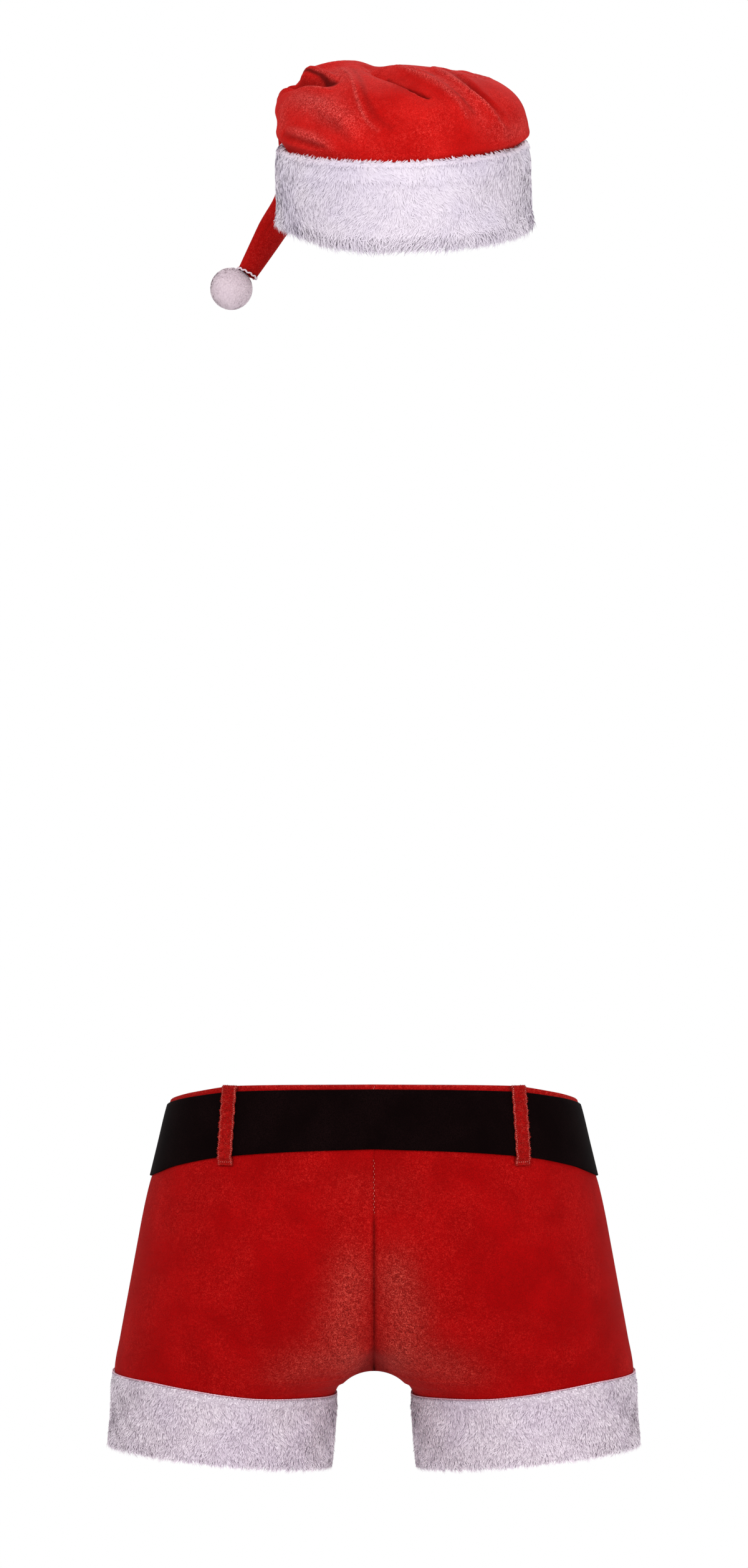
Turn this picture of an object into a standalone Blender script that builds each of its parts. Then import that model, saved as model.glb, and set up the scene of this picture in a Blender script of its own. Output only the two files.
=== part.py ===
"""Santa shorts with belt, and a santa hat, worn on an unseen figure.

The shorts are four cloth panels under a waistband, a belt in four loops and two fur cuffs.
The hat is a fur band, a two-panel crown that falls over into a tail, and a pompom.
+Z is up and +Y points to the wearer's front, so a viewer who looks along +Y sees the back.
The origin is the centre of the waist, level with the waistband's top edge at the side seams.
"""

import math

import bmesh
import bpy
import numpy as np

# Sizes are in millimetres. They become metres where the meshes are made.
MM = 0.001
SEAM_GAP = 0.3
CLOTH_THICK = 2.0
BELT_THICK = 2.0
CROWN_THICK = 1.6

# Shorts by height: side seam's x and y, depth of the seat and of the front from the middle,
# and how far the seat and the front divide into two legs, where 0 is one oval and 0.5 two legs.
CROTCH_Z = -214.5
FIGURE_COLUMNS = ("z", "side", "back", "front", "seam_y", "back_cleft", "front_cleft", "roundness")
FIGURE = (
    (24.0, 157.0, 103.0, 98.0, 0.0, 0.00, 0.00, 2.45),
    (0.0, 163.7, 108.0, 101.0, 0.0, 0.02, 0.00, 2.45),
    (-36.0, 172.2, 117.0, 105.0, -2.0, 0.07, 0.00, 2.40),
    (-56.0, 177.3, 122.0, 107.0, -3.0, 0.11, 0.00, 2.35),
    (-64.0, 179.7, 124.5, 109.0, -3.5, 0.14, 0.00, 2.30),
    (-86.0, 184.7, 130.0, 112.0, -5.0, 0.20, 0.02, 2.28),
    (-110.0, 189.2, 133.0, 113.0, -6.0, 0.27, 0.06, 2.25),
    (-146.0, 195.8, 132.0, 110.5, -7.0, 0.345, 0.18, 2.20),
    (-185.0, 203.0, 123.0, 103.0, -7.0, 0.425, 0.37, 2.15),
    (CROTCH_Z, 208.0, 111.0, 97.0, -6.0, 0.50, 0.50, 2.10),
    (-240.0, 208.6, 103.0, 94.0, -5.0, 0.50, 0.50, 2.05),
    (-300.0, 215.4, 97.0, 91.0, -3.0, 0.50, 0.50, 2.00),
)

# The gap between the legs: an arch at the crotch, then nearly straight down the cuffs.
ARCH_HALF_WIDTH = 31.0
ARCH_HEIGHT = 19.0
LEG_GAP_WIDENS = 0.08

# Edges that run round the shorts, by turn: -1 is the centre back, 0 the side seam, 1 the centre front.
EDGE_COLUMNS = ("turn", "waist_top", "belt_top", "belt_foot", "waistband_foot")
EDGES = (
    (-1.00, 20.3, 16.2, -30.0, -18.0),
    (-0.75, 19.9, 15.6, -32.0, -20.0),
    (-0.50, 18.5, 13.6, -36.8, -25.0),
    (-0.30, 12.4, 8.0, -45.5, -34.0),
    (-0.15, 6.8, 2.6, -54.0, -42.0),
    (0.00, 2.0, -2.0, -58.5, -46.0),
    (0.30, -4.0, -8.0, -62.0, -50.0),
    (0.60, -8.0, -12.0, -63.5, -51.5),
    (1.00, -10.0, -14.0, -64.0, -52.0),
)

# The cuffs' edges, the same at back and front: share 0 is the side seam and 1 the inseam.
CUFF_COLUMNS = ("share", "top", "foot")
CUFF_EDGES = (
    (0.00, -213.5, -271.0),
    (0.25, -215.0, -271.8),
    (0.40, -219.5, -274.8),
    (0.50, -223.8, -277.2),
    (0.60, -227.2, -280.5),
    (0.75, -229.3, -284.5),
    (0.90, -231.4, -287.8),
    (1.00, -232.0, -289.5),
)

# Columns of each cloth panel from the centre to the side seam. What lies on the panels follows them.
PANEL_STEPS = 12
COLUMNS = np.linspace(-1.0, 1.0, 2 * PANEL_STEPS + 1)
PANEL_GIRTH = 270.0
LEG_ROWS = 5
RISE_ROWS = 13

# Cross-section of a fur cuff from its foot up the outside and down the inside:
# share of its height, and distance out from the leg's surface.
CUFF_SECTION_COLUMNS = ("place", "out")
CUFF_SECTION = (
    (0.00, 1.0),
    (0.05, 2.9),
    (0.30, 3.9),
    (0.65, 3.9),
    (0.93, 2.9),
    (1.00, 1.2),
    (1.00, -1.2),
    (0.93, -3.2),
    (0.50, -3.4),
    (0.05, -3.2),
    (0.00, -1.4),
)

# Belt, wrapped once round with its ends lapped plainly over this many panel columns at the front.
BELT_LAP_COLUMNS = 4
BELT_CLIMB = 0.82

# A belt loop: its places up from its foot, and how far its under side and upper side stand off the cloth.
LOOP_WIDTH = 11.0
LOOP_AT_X = 114.2
LOOP_SLANT = 4.0
LOOP_BELOW_BELT = 6.5
LOOP_TOP_DROP = 0.4
LOOP_COLUMNS = ("place", "under", "upper")
LOOP = (
    (0.00, 0.3, 1.9),
    (0.045, 0.3, 2.1),
    (0.09, 2.6, 4.2),
    (0.50, 2.6, 4.2),
    (0.90, 2.6, 4.2),
    (0.955, 2.6, 4.1),
    (1.00, 0.3, 2.3),
)

# Hat, in its own frame: x right, y to the wearer's front, h up from the middle of the band's foot.
HAT_PLACE = (24.5, 10.0, 703.0)
HAT_TILT_BACK = 14.0
HAT_ROLL_LEFT = 1.5
BAND_HEIGHT = 68.0
BAND_OUTER = (108.0, 121.0)
BAND_INNER = (94.5, 107.5)
BAND_SECTION_COLUMNS = ("place", "through")
BAND_SECTION = (
    (0.00, 0.55),
    (0.03, 0.82),
    (0.16, 0.97),
    (0.45, 1.00),
    (0.80, 0.97),
    (0.96, 0.84),
    (1.00, 0.55),
    (0.985, 0.10),
    (0.95, 0.00),
    (0.50, 0.00),
    (0.05, 0.00),
    (0.01, 0.20),
)

# The crown falls over towards this bearing, measured from the hat's left side to its front. Its stations
# run from the skirt in the band to the tail's tip. Each gives the side next to the band and the side away
# from it as distance along the fall and height, then half-width, shift and slant across the fall,
# and how far it has changed from the band's oval.
FALL_BEARING = 47.0
CROWN_COLUMNS = ("in_along", "in_up", "out_along", "out_up", "half", "shift", "slant", "oval")
CROWN = (
    (100.5, 56.0, -100.5, 56.0, 100.0, 0.0, 0.0, 0.0),
    (100.5, 66.0, -100.5, 66.0, 100.0, 0.0, 0.0, 0.0),
    (103.0, 72.5, -104.5, 72.5, 103.5, 2.0, 0.0, 0.4),
    (105.0, 75.0, -105.0, 81.0, 101.0, 0.0, 0.0, 0.6),
    (106.0, 77.5, -103.0, 93.0, 98.0, -1.0, 0.0, 0.8),
    (107.0, 80.0, -97.0, 104.0, 94.5, -0.5, 0.0, 1.0),
    (108.0, 83.0, -85.0, 113.5, 91.0, 0.0, 0.0, 1.0),
    (109.0, 86.0, -64.0, 121.5, 86.5, 0.0, 0.0, 1.0),
    (110.5, 89.0, -36.0, 125.5, 79.0, 0.5, 0.0, 1.0),
    (112.0, 91.5, -4.0, 127.0, 70.0, 1.5, 0.0, 1.0),
    (113.5, 92.5, 30.0, 127.5, 61.5, 3.0, 0.0, 1.0),
    (115.0, 91.0, 60.0, 128.0, 54.0, 6.0, 0.0, 1.0),
    (116.0, 86.0, 86.0, 124.0, 48.0, 8.0, 0.0, 1.0),
    (116.3, 77.0, 106.0, 114.0, 42.0, 9.0, 0.0, 1.0),
    (116.3, 65.0, 121.0, 98.0, 35.0, 8.5, 0.0, 1.0),
    (116.3, 50.0, 130.0, 76.0, 28.0, 6.0, 0.0, 1.0),
    (116.0, 32.0, 133.5, 47.0, 20.5, 1.5, -0.05, 1.0),
    (116.0, 12.0, 134.0, 18.0, 16.5, -6.5, -0.25, 1.0),
    (119.5, -14.0, 134.0, -11.0, 12.6, -30.5, -0.50, 1.0),
    (125.6, -44.5, 137.6, -43.5, 7.8, -53.8, -0.65, 1.0),
)
CROWN_ROWS = 29
NEAR_STEPS = 32
FAR_STEPS = 24
LEFT_SEAM = 180.0 + FALL_BEARING
RIGHT_SEAM = FALL_BEARING

# Folds of the crown, each a soft ridge or trough through three places given by bearing and station,
# with its height and half-width. The first rows are on the near side and the rest on the far side.
FOLD_COLUMNS = (
    "bearing_0", "station_0", "bearing_1", "station_1", "bearing_2", "station_2", "height", "spread"
)
FOLDS = (
    (308.0, 3.3, 311.0, 7.8, 346.0, 10.5, 3.5, 9.0),
    (300.0, 3.2, 301.0, 6.2, 304.0, 8.2, -2.5, 8.0),
    (295.0, 3.4, 290.0, 5.2, 284.0, 6.9, 2.5, 9.0),
    (334.0, 6.1, 338.0, 8.5, 352.0, 10.1, -6.0, 7.0),
    (347.0, 4.2, 348.0, 7.3, 360.0, 9.4, 4.0, 9.0),
    (353.0, 4.4, 358.0, 6.6, 368.0, 8.6, -3.0, 8.0),
    (366.0, 3.3, 359.0, 5.9, 378.0, 8.4, 4.0, 9.0),
    (386.0, 7.0, 394.0, 7.8, 402.0, 8.5, -2.5, 6.0),
    (290.0, 2.0, 267.0, 3.2, 246.0, 3.8, 3.0, 9.0),
    (278.0, 10.6, 296.0, 10.2, 307.0, 9.2, -8.0, 7.0),
    (304.0, 11.4, 330.0, 11.3, 356.0, 11.0, 3.0, 10.0),
    (60.0, 3.0, 66.0, 5.5, 62.0, 8.0, 3.5, 10.0),
    (84.0, 2.6, 92.0, 5.2, 86.0, 8.2, -3.5, 9.0),
    (104.0, 3.0, 114.0, 5.0, 110.0, 7.8, 4.0, 10.0),
    (136.0, 3.2, 134.0, 5.4, 126.0, 8.0, -3.0, 9.0),
    (72.0, 9.2, 62.0, 10.4, 44.0, 11.0, -3.0, 9.0),
    (200.0, 3.4, 214.0, 4.2, 232.0, 4.6, -2.5, 8.0),
)
FOLD_POINTS = 14
# The folds begin above the band: none at the first of these stations and in full at the second.
FOLDS_BEGIN = (1.2, 2.6)

POMPOM_RADIUS = 17.8
POMPOM_ALONG, POMPOM_ASIDE, POMPOM_UP = 137.8, -65.7, -55.1

RED = (0.62, 0.015, 0.015)
WHITE = (0.86, 0.84, 0.88)
BLACK = (0.012, 0.010, 0.010)


class Curve:
    """A smooth curve through a table's values that never overshoots them."""

    def __init__(self, at, values):
        order = np.argsort(at)
        self.at = np.asarray(at, float)[order]
        self.values = np.asarray(values, float)[order]
        self.step = np.diff(self.at)
        slope = np.diff(self.values) / self.step
        self.tangent = np.concatenate([slope[:1], np.zeros(len(slope) - 1), slope[-1:]])
        for i in range(1, len(slope)):
            if slope[i - 1] * slope[i] > 0:
                before = 2 * self.step[i] + self.step[i - 1]
                after = self.step[i] + 2 * self.step[i - 1]
                self.tangent[i] = (before + after) / (before / slope[i - 1] + after / slope[i])

    def __call__(self, at):
        at = np.clip(at, self.at[0], self.at[-1])
        i = np.clip(np.searchsorted(self.at, at) - 1, 0, len(self.step) - 1)
        t = (at - self.at[i]) / self.step[i]
        start = (2 * t**3 - 3 * t**2 + 1) * self.values[i]
        start += (t**3 - 2 * t**2 + t) * self.step[i] * self.tangent[i]
        end = (3 * t**2 - 2 * t**3) * self.values[i + 1]
        end += (t**3 - t**2) * self.step[i] * self.tangent[i + 1]
        return start + end


def curves(rows, names):
    """A curve for each column of a table, against its first column."""
    table = np.array(rows, float)
    return {name: Curve(table[:, 0], table[:, k]) for k, name in enumerate(names) if k}


FIGURE_CURVES = curves(FIGURE, FIGURE_COLUMNS)
EDGE_CURVES = curves(EDGES, EDGE_COLUMNS)
CUFF_CURVES = curves(CUFF_EDGES, CUFF_COLUMNS)
CROWN_CURVES = curves([(i, *row) for i, row in enumerate(CROWN)], ("station", *CROWN_COLUMNS))
LAST_STATION = len(CROWN) - 1

SECTION_POINTS = 90
NORMAL_TURN = 0.02
NORMAL_RISE = 1.0


def leg_inner_x(z):
    """How far the inseam stands from the middle at height z, below the crotch."""
    drop = np.maximum(CROTCH_Z - z, 0.0)
    arch = ARCH_HALF_WIDTH * np.sqrt(1 - (1 - np.minimum(drop / ARCH_HEIGHT, 1.0)) ** 2)
    return arch + LEG_GAP_WIDENS * np.maximum(drop - ARCH_HEIGHT, 0.0)


def half_outline(z, turn):
    """Points of the shorts' right half: turn -1 is the centre back, 0 the side seam, 1 the centre front."""
    z, turn = np.broadcast_arrays(np.asarray(z, float), np.asarray(turn, float))
    shape = z.shape
    z, turn = z.reshape(-1, 1), turn.reshape(-1, 1)
    back, below = turn < 0, z < CROTCH_Z
    side, seam_y = FIGURE_CURVES["side"](z), FIGURE_CURVES["seam_y"](z)
    depth = np.where(back, FIGURE_CURVES["back"](z) + seam_y, FIGURE_CURVES["front"](z) - seam_y)
    cleft = np.where(back, FIGURE_CURVES["back_cleft"](z), FIGURE_CURVES["front_cleft"](z))
    power = 2 / FIGURE_CURVES["roundness"](z)
    inner = leg_inner_x(z)
    middle = np.where(below, (side + inner) / 2, side * cleft)
    half = side - middle
    reach = np.clip((middle - SEAM_GAP / 2) / half, 0.0, 1.0)
    start = np.where(below, math.pi, np.arccos(-(reach ** (1 / power))))
    angle = start * np.linspace(1.0, 0.0, SECTION_POINTS)
    cosine, sine = np.cos(angle), np.abs(np.sin(angle))
    x = middle + half * np.sign(cosine) * np.abs(cosine) ** power
    y = seam_y + np.where(back, -1.0, 1.0) * depth * sine**power
    steps = np.hypot(np.diff(x, axis=1), np.diff(y, axis=1))
    along = np.concatenate([np.zeros_like(z), np.cumsum(steps, axis=1)], axis=1)
    wanted = (1 - np.abs(turn)) * along[:, -1:]
    i = np.clip((along <= wanted).sum(axis=1, keepdims=True) - 1, 0, SECTION_POINTS - 2)
    low, high = np.take_along_axis(along, i, 1), np.take_along_axis(along, i + 1, 1)
    t = (wanted - low) / (high - low)
    at_x = np.take_along_axis(x, i, 1) * (1 - t) + np.take_along_axis(x, i + 1, 1) * t
    at_y = np.take_along_axis(y, i, 1) * (1 - t) + np.take_along_axis(y, i + 1, 1) * t
    return np.concatenate([at_x, at_y, z], axis=1).reshape(*shape, 3)


def unit(vectors):
    """The same directions with length 1."""
    return vectors / np.linalg.norm(vectors, axis=-1, keepdims=True)


def outward(z, turn):
    """The outward direction of the shorts' surface."""
    z, turn = np.broadcast_arrays(np.asarray(z, float), np.asarray(turn, float))
    after, before = np.minimum(turn + NORMAL_TURN, 1), np.maximum(turn - NORMAL_TURN, -1)
    across = half_outline(z, after) - half_outline(z, before)
    below = z < CROTCH_Z
    top = np.where(below, np.minimum(z + NORMAL_RISE, CROTCH_Z), z + NORMAL_RISE)
    foot = np.where(below, z - NORMAL_RISE, np.maximum(z - NORMAL_RISE, CROTCH_Z))
    return unit(np.cross(across, half_outline(top, turn) - half_outline(foot, turn)))


def lifted(z, turn, lift):
    """Points of the shorts' surface moved out by lift."""
    lift = np.asarray(lift, float)[..., None]
    return half_outline(z, turn) + lift * outward(z, turn)


def on_facets(z, turn, lift):
    """Points over the flat strips between the panels' columns, moved out by lift."""
    i = np.clip(np.searchsorted(COLUMNS, turn) - 1, 0, len(COLUMNS) - 2)
    share = ((turn - COLUMNS[i]) / (COLUMNS[i + 1] - COLUMNS[i]))[..., None]
    return lifted(z, COLUMNS[i], lift) * (1 - share) + lifted(z, COLUMNS[i + 1], lift) * share


def column_height(curve, turn):
    """An edge's height, straight from each panel column to the next."""
    return np.interp(turn, COLUMNS, curve(COLUMNS))


def edge(name, turn):
    """The height of an edge that runs round the waist."""
    return column_height(EDGE_CURVES[name], turn)


def cuff_edge(name, turn):
    """The height of a cuff's edge."""
    return column_height(lambda columns: CUFF_CURVES[name](np.abs(columns)), turn)


def between(low, high, shares):
    """Rows of heights spaced from one edge to another."""
    return low + (high - low) * np.asarray(shares, float)[:, None]


def new_object(name, points, faces, colour, roughness, left):
    """A mesh object from points in millimetres, with its own material, mirrored where it is on the left."""
    points = np.asarray(points, float).reshape(-1, 3) * MM
    if left:
        points = points * (-1.0, 1.0, 1.0)
        faces = [(face[0], *face[:0:-1]) for face in faces]
    mesh = bpy.data.meshes.new(name)
    mesh.from_pydata(points.tolist(), [], faces)
    mesh.shade_smooth()
    mesh.set_sharp_from_angle(angle=math.radians(50))
    material = bpy.data.materials.new(name)
    material.use_nodes = True
    shader = material.node_tree.nodes["Principled BSDF"]
    shader.inputs["Base Color"].default_value = (*colour, 1.0)
    shader.inputs["Roughness"].default_value = roughness
    mesh.materials.append(material)
    made = bpy.data.objects.new(name, mesh)
    SET.objects.link(made)


def wall(name, outer, inner, colour, roughness=0.9, closed=False, left=False):
    """A cloth wall between an outer and an inner net of points with its rims closed.

    The nets are rows by columns. Rows climb and columns run anticlockwise seen from above.
    """
    rows, columns = outer.shape[:2]
    layer, last, top = rows * columns, columns - 1, (rows - 1) * columns
    steps = [(i, (i + 1) % columns) for i in range(columns if closed else last)]
    faces = []
    for here in range(0, top, columns):
        above = here + columns
        for a, b in steps:
            faces.append((here + a, here + b, above + b, above + a))
            faces.append((layer + here + a, layer + above + a, layer + above + b, layer + here + b))
        if not closed:
            faces.append((here, above, layer + above, layer + here))
            faces.append((here + last, layer + here + last, layer + above + last, above + last))
    for a, b in steps:
        faces.append((layer + a, layer + b, b, a))
        faces.append((top + a, top + b, layer + top + b, layer + top + a))
    new_object(name, np.stack([outer, inner]), faces, colour, roughness, left)


def ring_solid(name, loops, colour, left=False):
    """A closed ring through section loops that follow each other round it."""
    count, size = loops.shape[:2]
    faces = []
    for i in range(count):
        here, after = i * size, ((i + 1) % count) * size
        for a in range(size):
            b = (a + 1) % size
            faces.append((here + a, after + a, after + b, here + b))
    new_object(name, loops, faces, colour, 1.0, left)


def panel(name, back, left):
    """A cloth panel, from the centre seam and inseam to the side seam and from the cuff to the waistband."""
    turns = COLUMNS[: PANEL_STEPS + 1] if back else COLUMNS[PANEL_STEPS:]
    foot = cuff_edge("top", turns) + SEAM_GAP
    top = edge("waistband_foot", turns) - SEAM_GAP
    crotch = CROTCH_Z + (foot + 16.0 - CROTCH_Z) * (1 - np.abs(turns)) ** 1.5
    leg = between(foot, crotch, 1 - (1 - np.linspace(0, 1, LEG_ROWS)) ** 1.6)
    rise = between(crotch, edge("belt_foot", turns), np.linspace(0, 1, RISE_ROWS) ** 1.6)
    z = np.concatenate([leg, rise[1:], top[None]])
    trimmed = turns.copy()
    trimmed[0] += SEAM_GAP / 2 / PANEL_GIRTH
    trimmed[-1] -= SEAM_GAP / 2 / PANEL_GIRTH
    outer, directions = half_outline(z, trimmed), outward(z, trimmed)
    # The foot's rim stays level, along the cuff's seam.
    directions[0, :, 2] = 0.0
    wall(name, outer, outer - CLOTH_THICK * unit(directions), RED, left=left)


def all_round(net):
    """A net on the right half from centre back to centre front, carried on round the left half."""
    other = net[:, -2:0:-1] * (-1.0, 1.0, 1.0)
    return np.concatenate([net, other], axis=1)


def waist_rows(turns, *names):
    """Rows of heights at the waist's edges, with one halfway from the waistband's foot to the belt's top."""
    heights = {name: edge(name, turns) for name in EDGE_COLUMNS[1:]}
    heights["between"] = (heights["waistband_foot"] + heights["belt_top"]) / 2
    return np.array([heights[name] for name in names])


def waistband():
    """The waistband, one ring whose top edge shows above the belt."""
    z = waist_rows(COLUMNS, "waistband_foot", "between", "belt_top", "waist_top")
    outer = all_round(lifted(z, COLUMNS, 0.0))
    inner = all_round(lifted(z, COLUMNS, -CLOTH_THICK))
    wall("waistband", outer, inner, RED, closed=True)


def belt():
    """The belt: one strip round the waist whose end laps over its start at the centre front."""
    start = len(COLUMNS) - 1 - BELT_LAP_COLUMNS // 2
    lap = [(t, False) for t in COLUMNS[start:]]
    under_end = [(t, True) for t in COLUMNS[start:-1]][::-1]
    round_right = [(t, False) for t in COLUMNS[:start]]
    round_left = [(t, True) for t in COLUMNS[1:start]][::-1]
    climb = [(BELT_CLIMB, True)]
    over_end = under_end[::-1]
    low = SEAM_GAP
    high = 2 * SEAM_GAP + BELT_THICK
    # The strip runs clockwise seen from above: lapped under at the left, then right, back and left again.
    way = [(t, side, low) for t, side in under_end[::-1] + lap[::-1] + round_right[::-1] + round_left[::-1]]
    way += [(t, side, high) for t, side in climb + over_end + lap[::-1]]
    turns = np.array([t for t, side, lift in way])
    lifts = np.array([lift for t, side, lift in way])
    sides = np.array([(-1.0 if side else 1.0, 1.0, 1.0) for t, side, lift in way])
    z = waist_rows(turns, "belt_foot", "waistband_foot", "between", "belt_top")
    turns, lifts = np.broadcast_to(turns, z.shape), np.broadcast_to(lifts, z.shape)
    inner = on_facets(z, turns, lifts) * sides
    outer = on_facets(z, turns, lifts + BELT_THICK) * sides
    wall("belt", outer[:, ::-1], inner[:, ::-1], BLACK, roughness=0.55)


def turn_at(z, x, back):
    """The turn where the surface at height z stands x from the middle."""
    turns = np.linspace(-1, 0, 200) if back else np.linspace(1, 0, 200)
    return float(np.interp(x, half_outline(z, turns)[:, 0], turns))


def loop(name, back, left):
    """A belt loop, a narrow strip from below the belt to the waistband's top edge."""
    inner, outer = [], []
    for place, under, upper in LOOP:
        x = LOOP_AT_X + LOOP_SLANT * (0.5 - place)
        turn = turn_at(-20.0, x, back)
        foot = edge("belt_foot", turn) - LOOP_BELOW_BELT
        z = foot + (edge("waist_top", turn) - LOOP_TOP_DROP - foot) * place
        ends = [turn_at(z, x + half, back) for half in (-LOOP_WIDTH / 2, LOOP_WIDTH / 2)]
        turns = np.linspace(min(ends), max(ends), 3)
        inner.append(on_facets(np.full(3, z), turns, np.full(3, under)))
        outer.append(on_facets(np.full(3, z), turns, np.full(3, upper)))
    wall(name, np.array(outer), np.array(inner), RED, left=left)


def cuff(name, left):
    """The fur cuff round one leg, as deep as its fur stands."""
    fine = np.linspace(-1, 1, 4 * PANEL_STEPS + 1)
    turns = fine[:-1]
    foot, top = cuff_edge("foot", turns), cuff_edge("top", turns)
    section = np.array(CUFF_SECTION)
    z = foot[:, None] + (top - foot)[:, None] * section[:, 0]
    surface = half_outline(z, turns[:, None])
    middle = np.stack(
        [(FIGURE_CURVES["side"](z) + leg_inner_x(z)) / 2, FIGURE_CURVES["seam_y"](z), z], axis=-1
    )
    ring_solid(name, surface + section[:, 1:2] * unit(surface - middle), WHITE, left=left)


FALL = math.radians(FALL_BEARING)
ALONG = np.array([-math.cos(FALL), math.sin(FALL), 0.0])
ASIDE = np.array([math.sin(FALL), math.cos(FALL), 0.0])
UP = np.array([0.0, 0.0, 1.0])


def hat_to_world(points):
    """Points of the hat's frame, tilted back and rolled, in their place above the shorts."""
    tilt, roll = math.radians(HAT_TILT_BACK), math.radians(HAT_ROLL_LEFT)
    back = np.array([[1, 0, 0], [0, math.cos(tilt), -math.sin(tilt)], [0, math.sin(tilt), math.cos(tilt)]])
    side = np.array([[math.cos(roll), 0, -math.sin(roll)], [0, 1, 0], [math.sin(roll), 0, math.cos(roll)]])
    return points @ (side @ back).T + np.array(HAT_PLACE)


def level(bearing):
    """The level direction at a bearing: 0 is away from the fall, 90 the far side, 180 the fall."""
    angle = np.radians(bearing)[..., None]
    return -ALONG * np.cos(angle) + ASIDE * np.sin(angle)


def oval_radius(direction, half_x, half_y):
    """How far an oval of these half-widths reaches in a level direction."""
    return 1 / np.sqrt((direction[..., :1] / half_x) ** 2 + (direction[..., 1:2] / half_y) ** 2)


def crown_smooth(bearing, station):
    """Points of the crown before its folds."""
    bearing, station = np.broadcast_arrays(np.asarray(bearing, float), np.asarray(station, float))
    at = {name: CROWN_CURVES[name](station)[..., None] for name in CROWN_COLUMNS}
    inner = at["in_along"] * ALONG + at["in_up"] * UP
    outer = at["out_along"] * ALONG + at["out_up"] * UP
    middle, reach = (inner + outer) / 2 + at["shift"] * ASIDE, (outer - inner) / 2
    angle = np.radians(bearing)[..., None]
    across = at["half"] * (ASIDE + at["slant"] * UP)
    fallen = middle + reach * np.cos(angle) + across * np.sin(angle)
    skirt = [size - SEAM_GAP for size in BAND_INNER]
    swell = np.linalg.norm(reach, axis=-1, keepdims=True) / oval_radius(ALONG, *skirt)
    based = middle + level(bearing) * oval_radius(level(bearing), *skirt) * swell
    based = based + reach * UP * np.cos(angle)
    return based * (1 - at["oval"]) + fallen * at["oval"]


def crown_outward(surface, bearing, station):
    """The outward direction of a crown surface."""
    across = surface(bearing + 1.0, station) - surface(bearing - 1.0, station)
    above = surface(bearing, np.minimum(station + 0.05, LAST_STATION))
    below = surface(bearing, np.maximum(station - 0.05, 0))
    return unit(np.cross(across, above - below))


def fold_lift(points):
    """How far the folds move points of the crown out or in."""
    lift = np.zeros(points.shape[:-1])
    s = np.linspace(0, 1, FOLD_POINTS)
    first, via, last = (1 - s) * (1 - 2 * s), 4 * s * (1 - s), s * (2 * s - 1)
    fade = np.sin(math.pi * np.clip(s, 0.06, 0.94)) ** 0.5
    for bearing_0, station_0, bearing_1, station_1, bearing_2, station_2, height, spread in FOLDS:
        line = crown_smooth(
            bearing_0 * first + bearing_1 * via + bearing_2 * last,
            station_0 * first + station_1 * via + station_2 * last,
        )
        closest = np.zeros_like(lift)
        for here, after, strength in zip(line[:-1], line[1:], (fade[:-1] + fade[1:]) / 2):
            step = after - here
            along = np.clip(((points - here) @ step) / (step @ step), 0, 1)
            away = np.linalg.norm(points - here - along[..., None] * step, axis=-1)
            closest = np.maximum(closest, strength * np.exp(-((away / spread) ** 2)))
        lift += height * closest
    return lift


def crown_surface(bearing, station):
    """Points of the crown with its folds."""
    points = crown_smooth(bearing, station)
    begun = np.clip((station - FOLDS_BEGIN[0]) / (FOLDS_BEGIN[1] - FOLDS_BEGIN[0]), 0, 1)
    lift = fold_lift(points) * begun**2 * (3 - 2 * begun)
    return points + lift[..., None] * crown_outward(crown_smooth, bearing, station)


def panel_bearings(first_bearing, last_bearing, steps):
    """Where the columns of a crown panel stand. The band's loops stand there too."""
    return np.linspace(first_bearing, last_bearing, steps + 1)


def crown_panel(name, bearings):
    """One of the crown's two triangles of cloth, from inside the band to the tail's tip."""
    stations = np.concatenate([[0.0], np.linspace(1.0, LAST_STATION, CROWN_ROWS)])[:, None]
    bearings = np.repeat(bearings[None], len(stations), axis=0)
    for column, way in ((0, 1), (-1, -1)):
        seam, at = bearings[:, column], stations[:, 0]
        across = crown_surface(seam + 0.5, at) - crown_surface(seam - 0.5, at)
        along = unit(np.gradient(crown_surface(seam, at), axis=0))
        speed = np.linalg.norm(np.cross(across, along), axis=-1)
        bearings[:, column] += way * SEAM_GAP / 2 / speed
    outer = crown_surface(bearings, stations)
    inner = outer - CROWN_THICK * crown_outward(crown_surface, bearings, stations)
    wall(name, hat_to_world(outer), hat_to_world(inner), RED)


def hat_band():
    """The fur band round the hat's opening, as deep as its fur stands."""
    directions = level(np.concatenate([NEAR_BEARINGS[:-1], 360.0 + FAR_BEARINGS[:-1]]))[:, None]
    near, far = oval_radius(directions, *BAND_INNER), oval_radius(directions, *BAND_OUTER)
    section = np.array(BAND_SECTION)
    out = near + (far - near) * section[:, 1:2]
    ring_solid("hat_band", hat_to_world(directions * out + UP * BAND_HEIGHT * section[:, :1]), WHITE)


POMPOM_RINGS = 14
POMPOM_SIDES = 20


def pompom():
    """The fur pompom, pressed flat where the tail is sewn to it."""
    centre = POMPOM_ALONG * ALONG + POMPOM_ASIDE * ASIDE + POMPOM_UP * UP
    ring = crown_smooth(np.arange(0.0, 360.0, 90.0), LAST_STATION)
    towards = unit(np.cross(ring[1] - ring[3], ring[0] - ring[2]))
    flat = (ring.mean(axis=0) - centre) @ towards - SEAM_GAP
    ball = bmesh.new()
    bmesh.ops.create_uvsphere(
        ball, u_segments=POMPOM_SIDES, v_segments=POMPOM_RINGS, radius=POMPOM_RADIUS
    )
    points = np.array([vertex.co for vertex in ball.verts])
    points = points - np.maximum(points @ towards - flat, 0.0)[:, None] * towards
    faces = [tuple(vertex.index for vertex in face.verts) for face in ball.faces]
    ball.free()
    new_object("pompom", hat_to_world(centre + points), faces, WHITE, 1.0, False)


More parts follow.
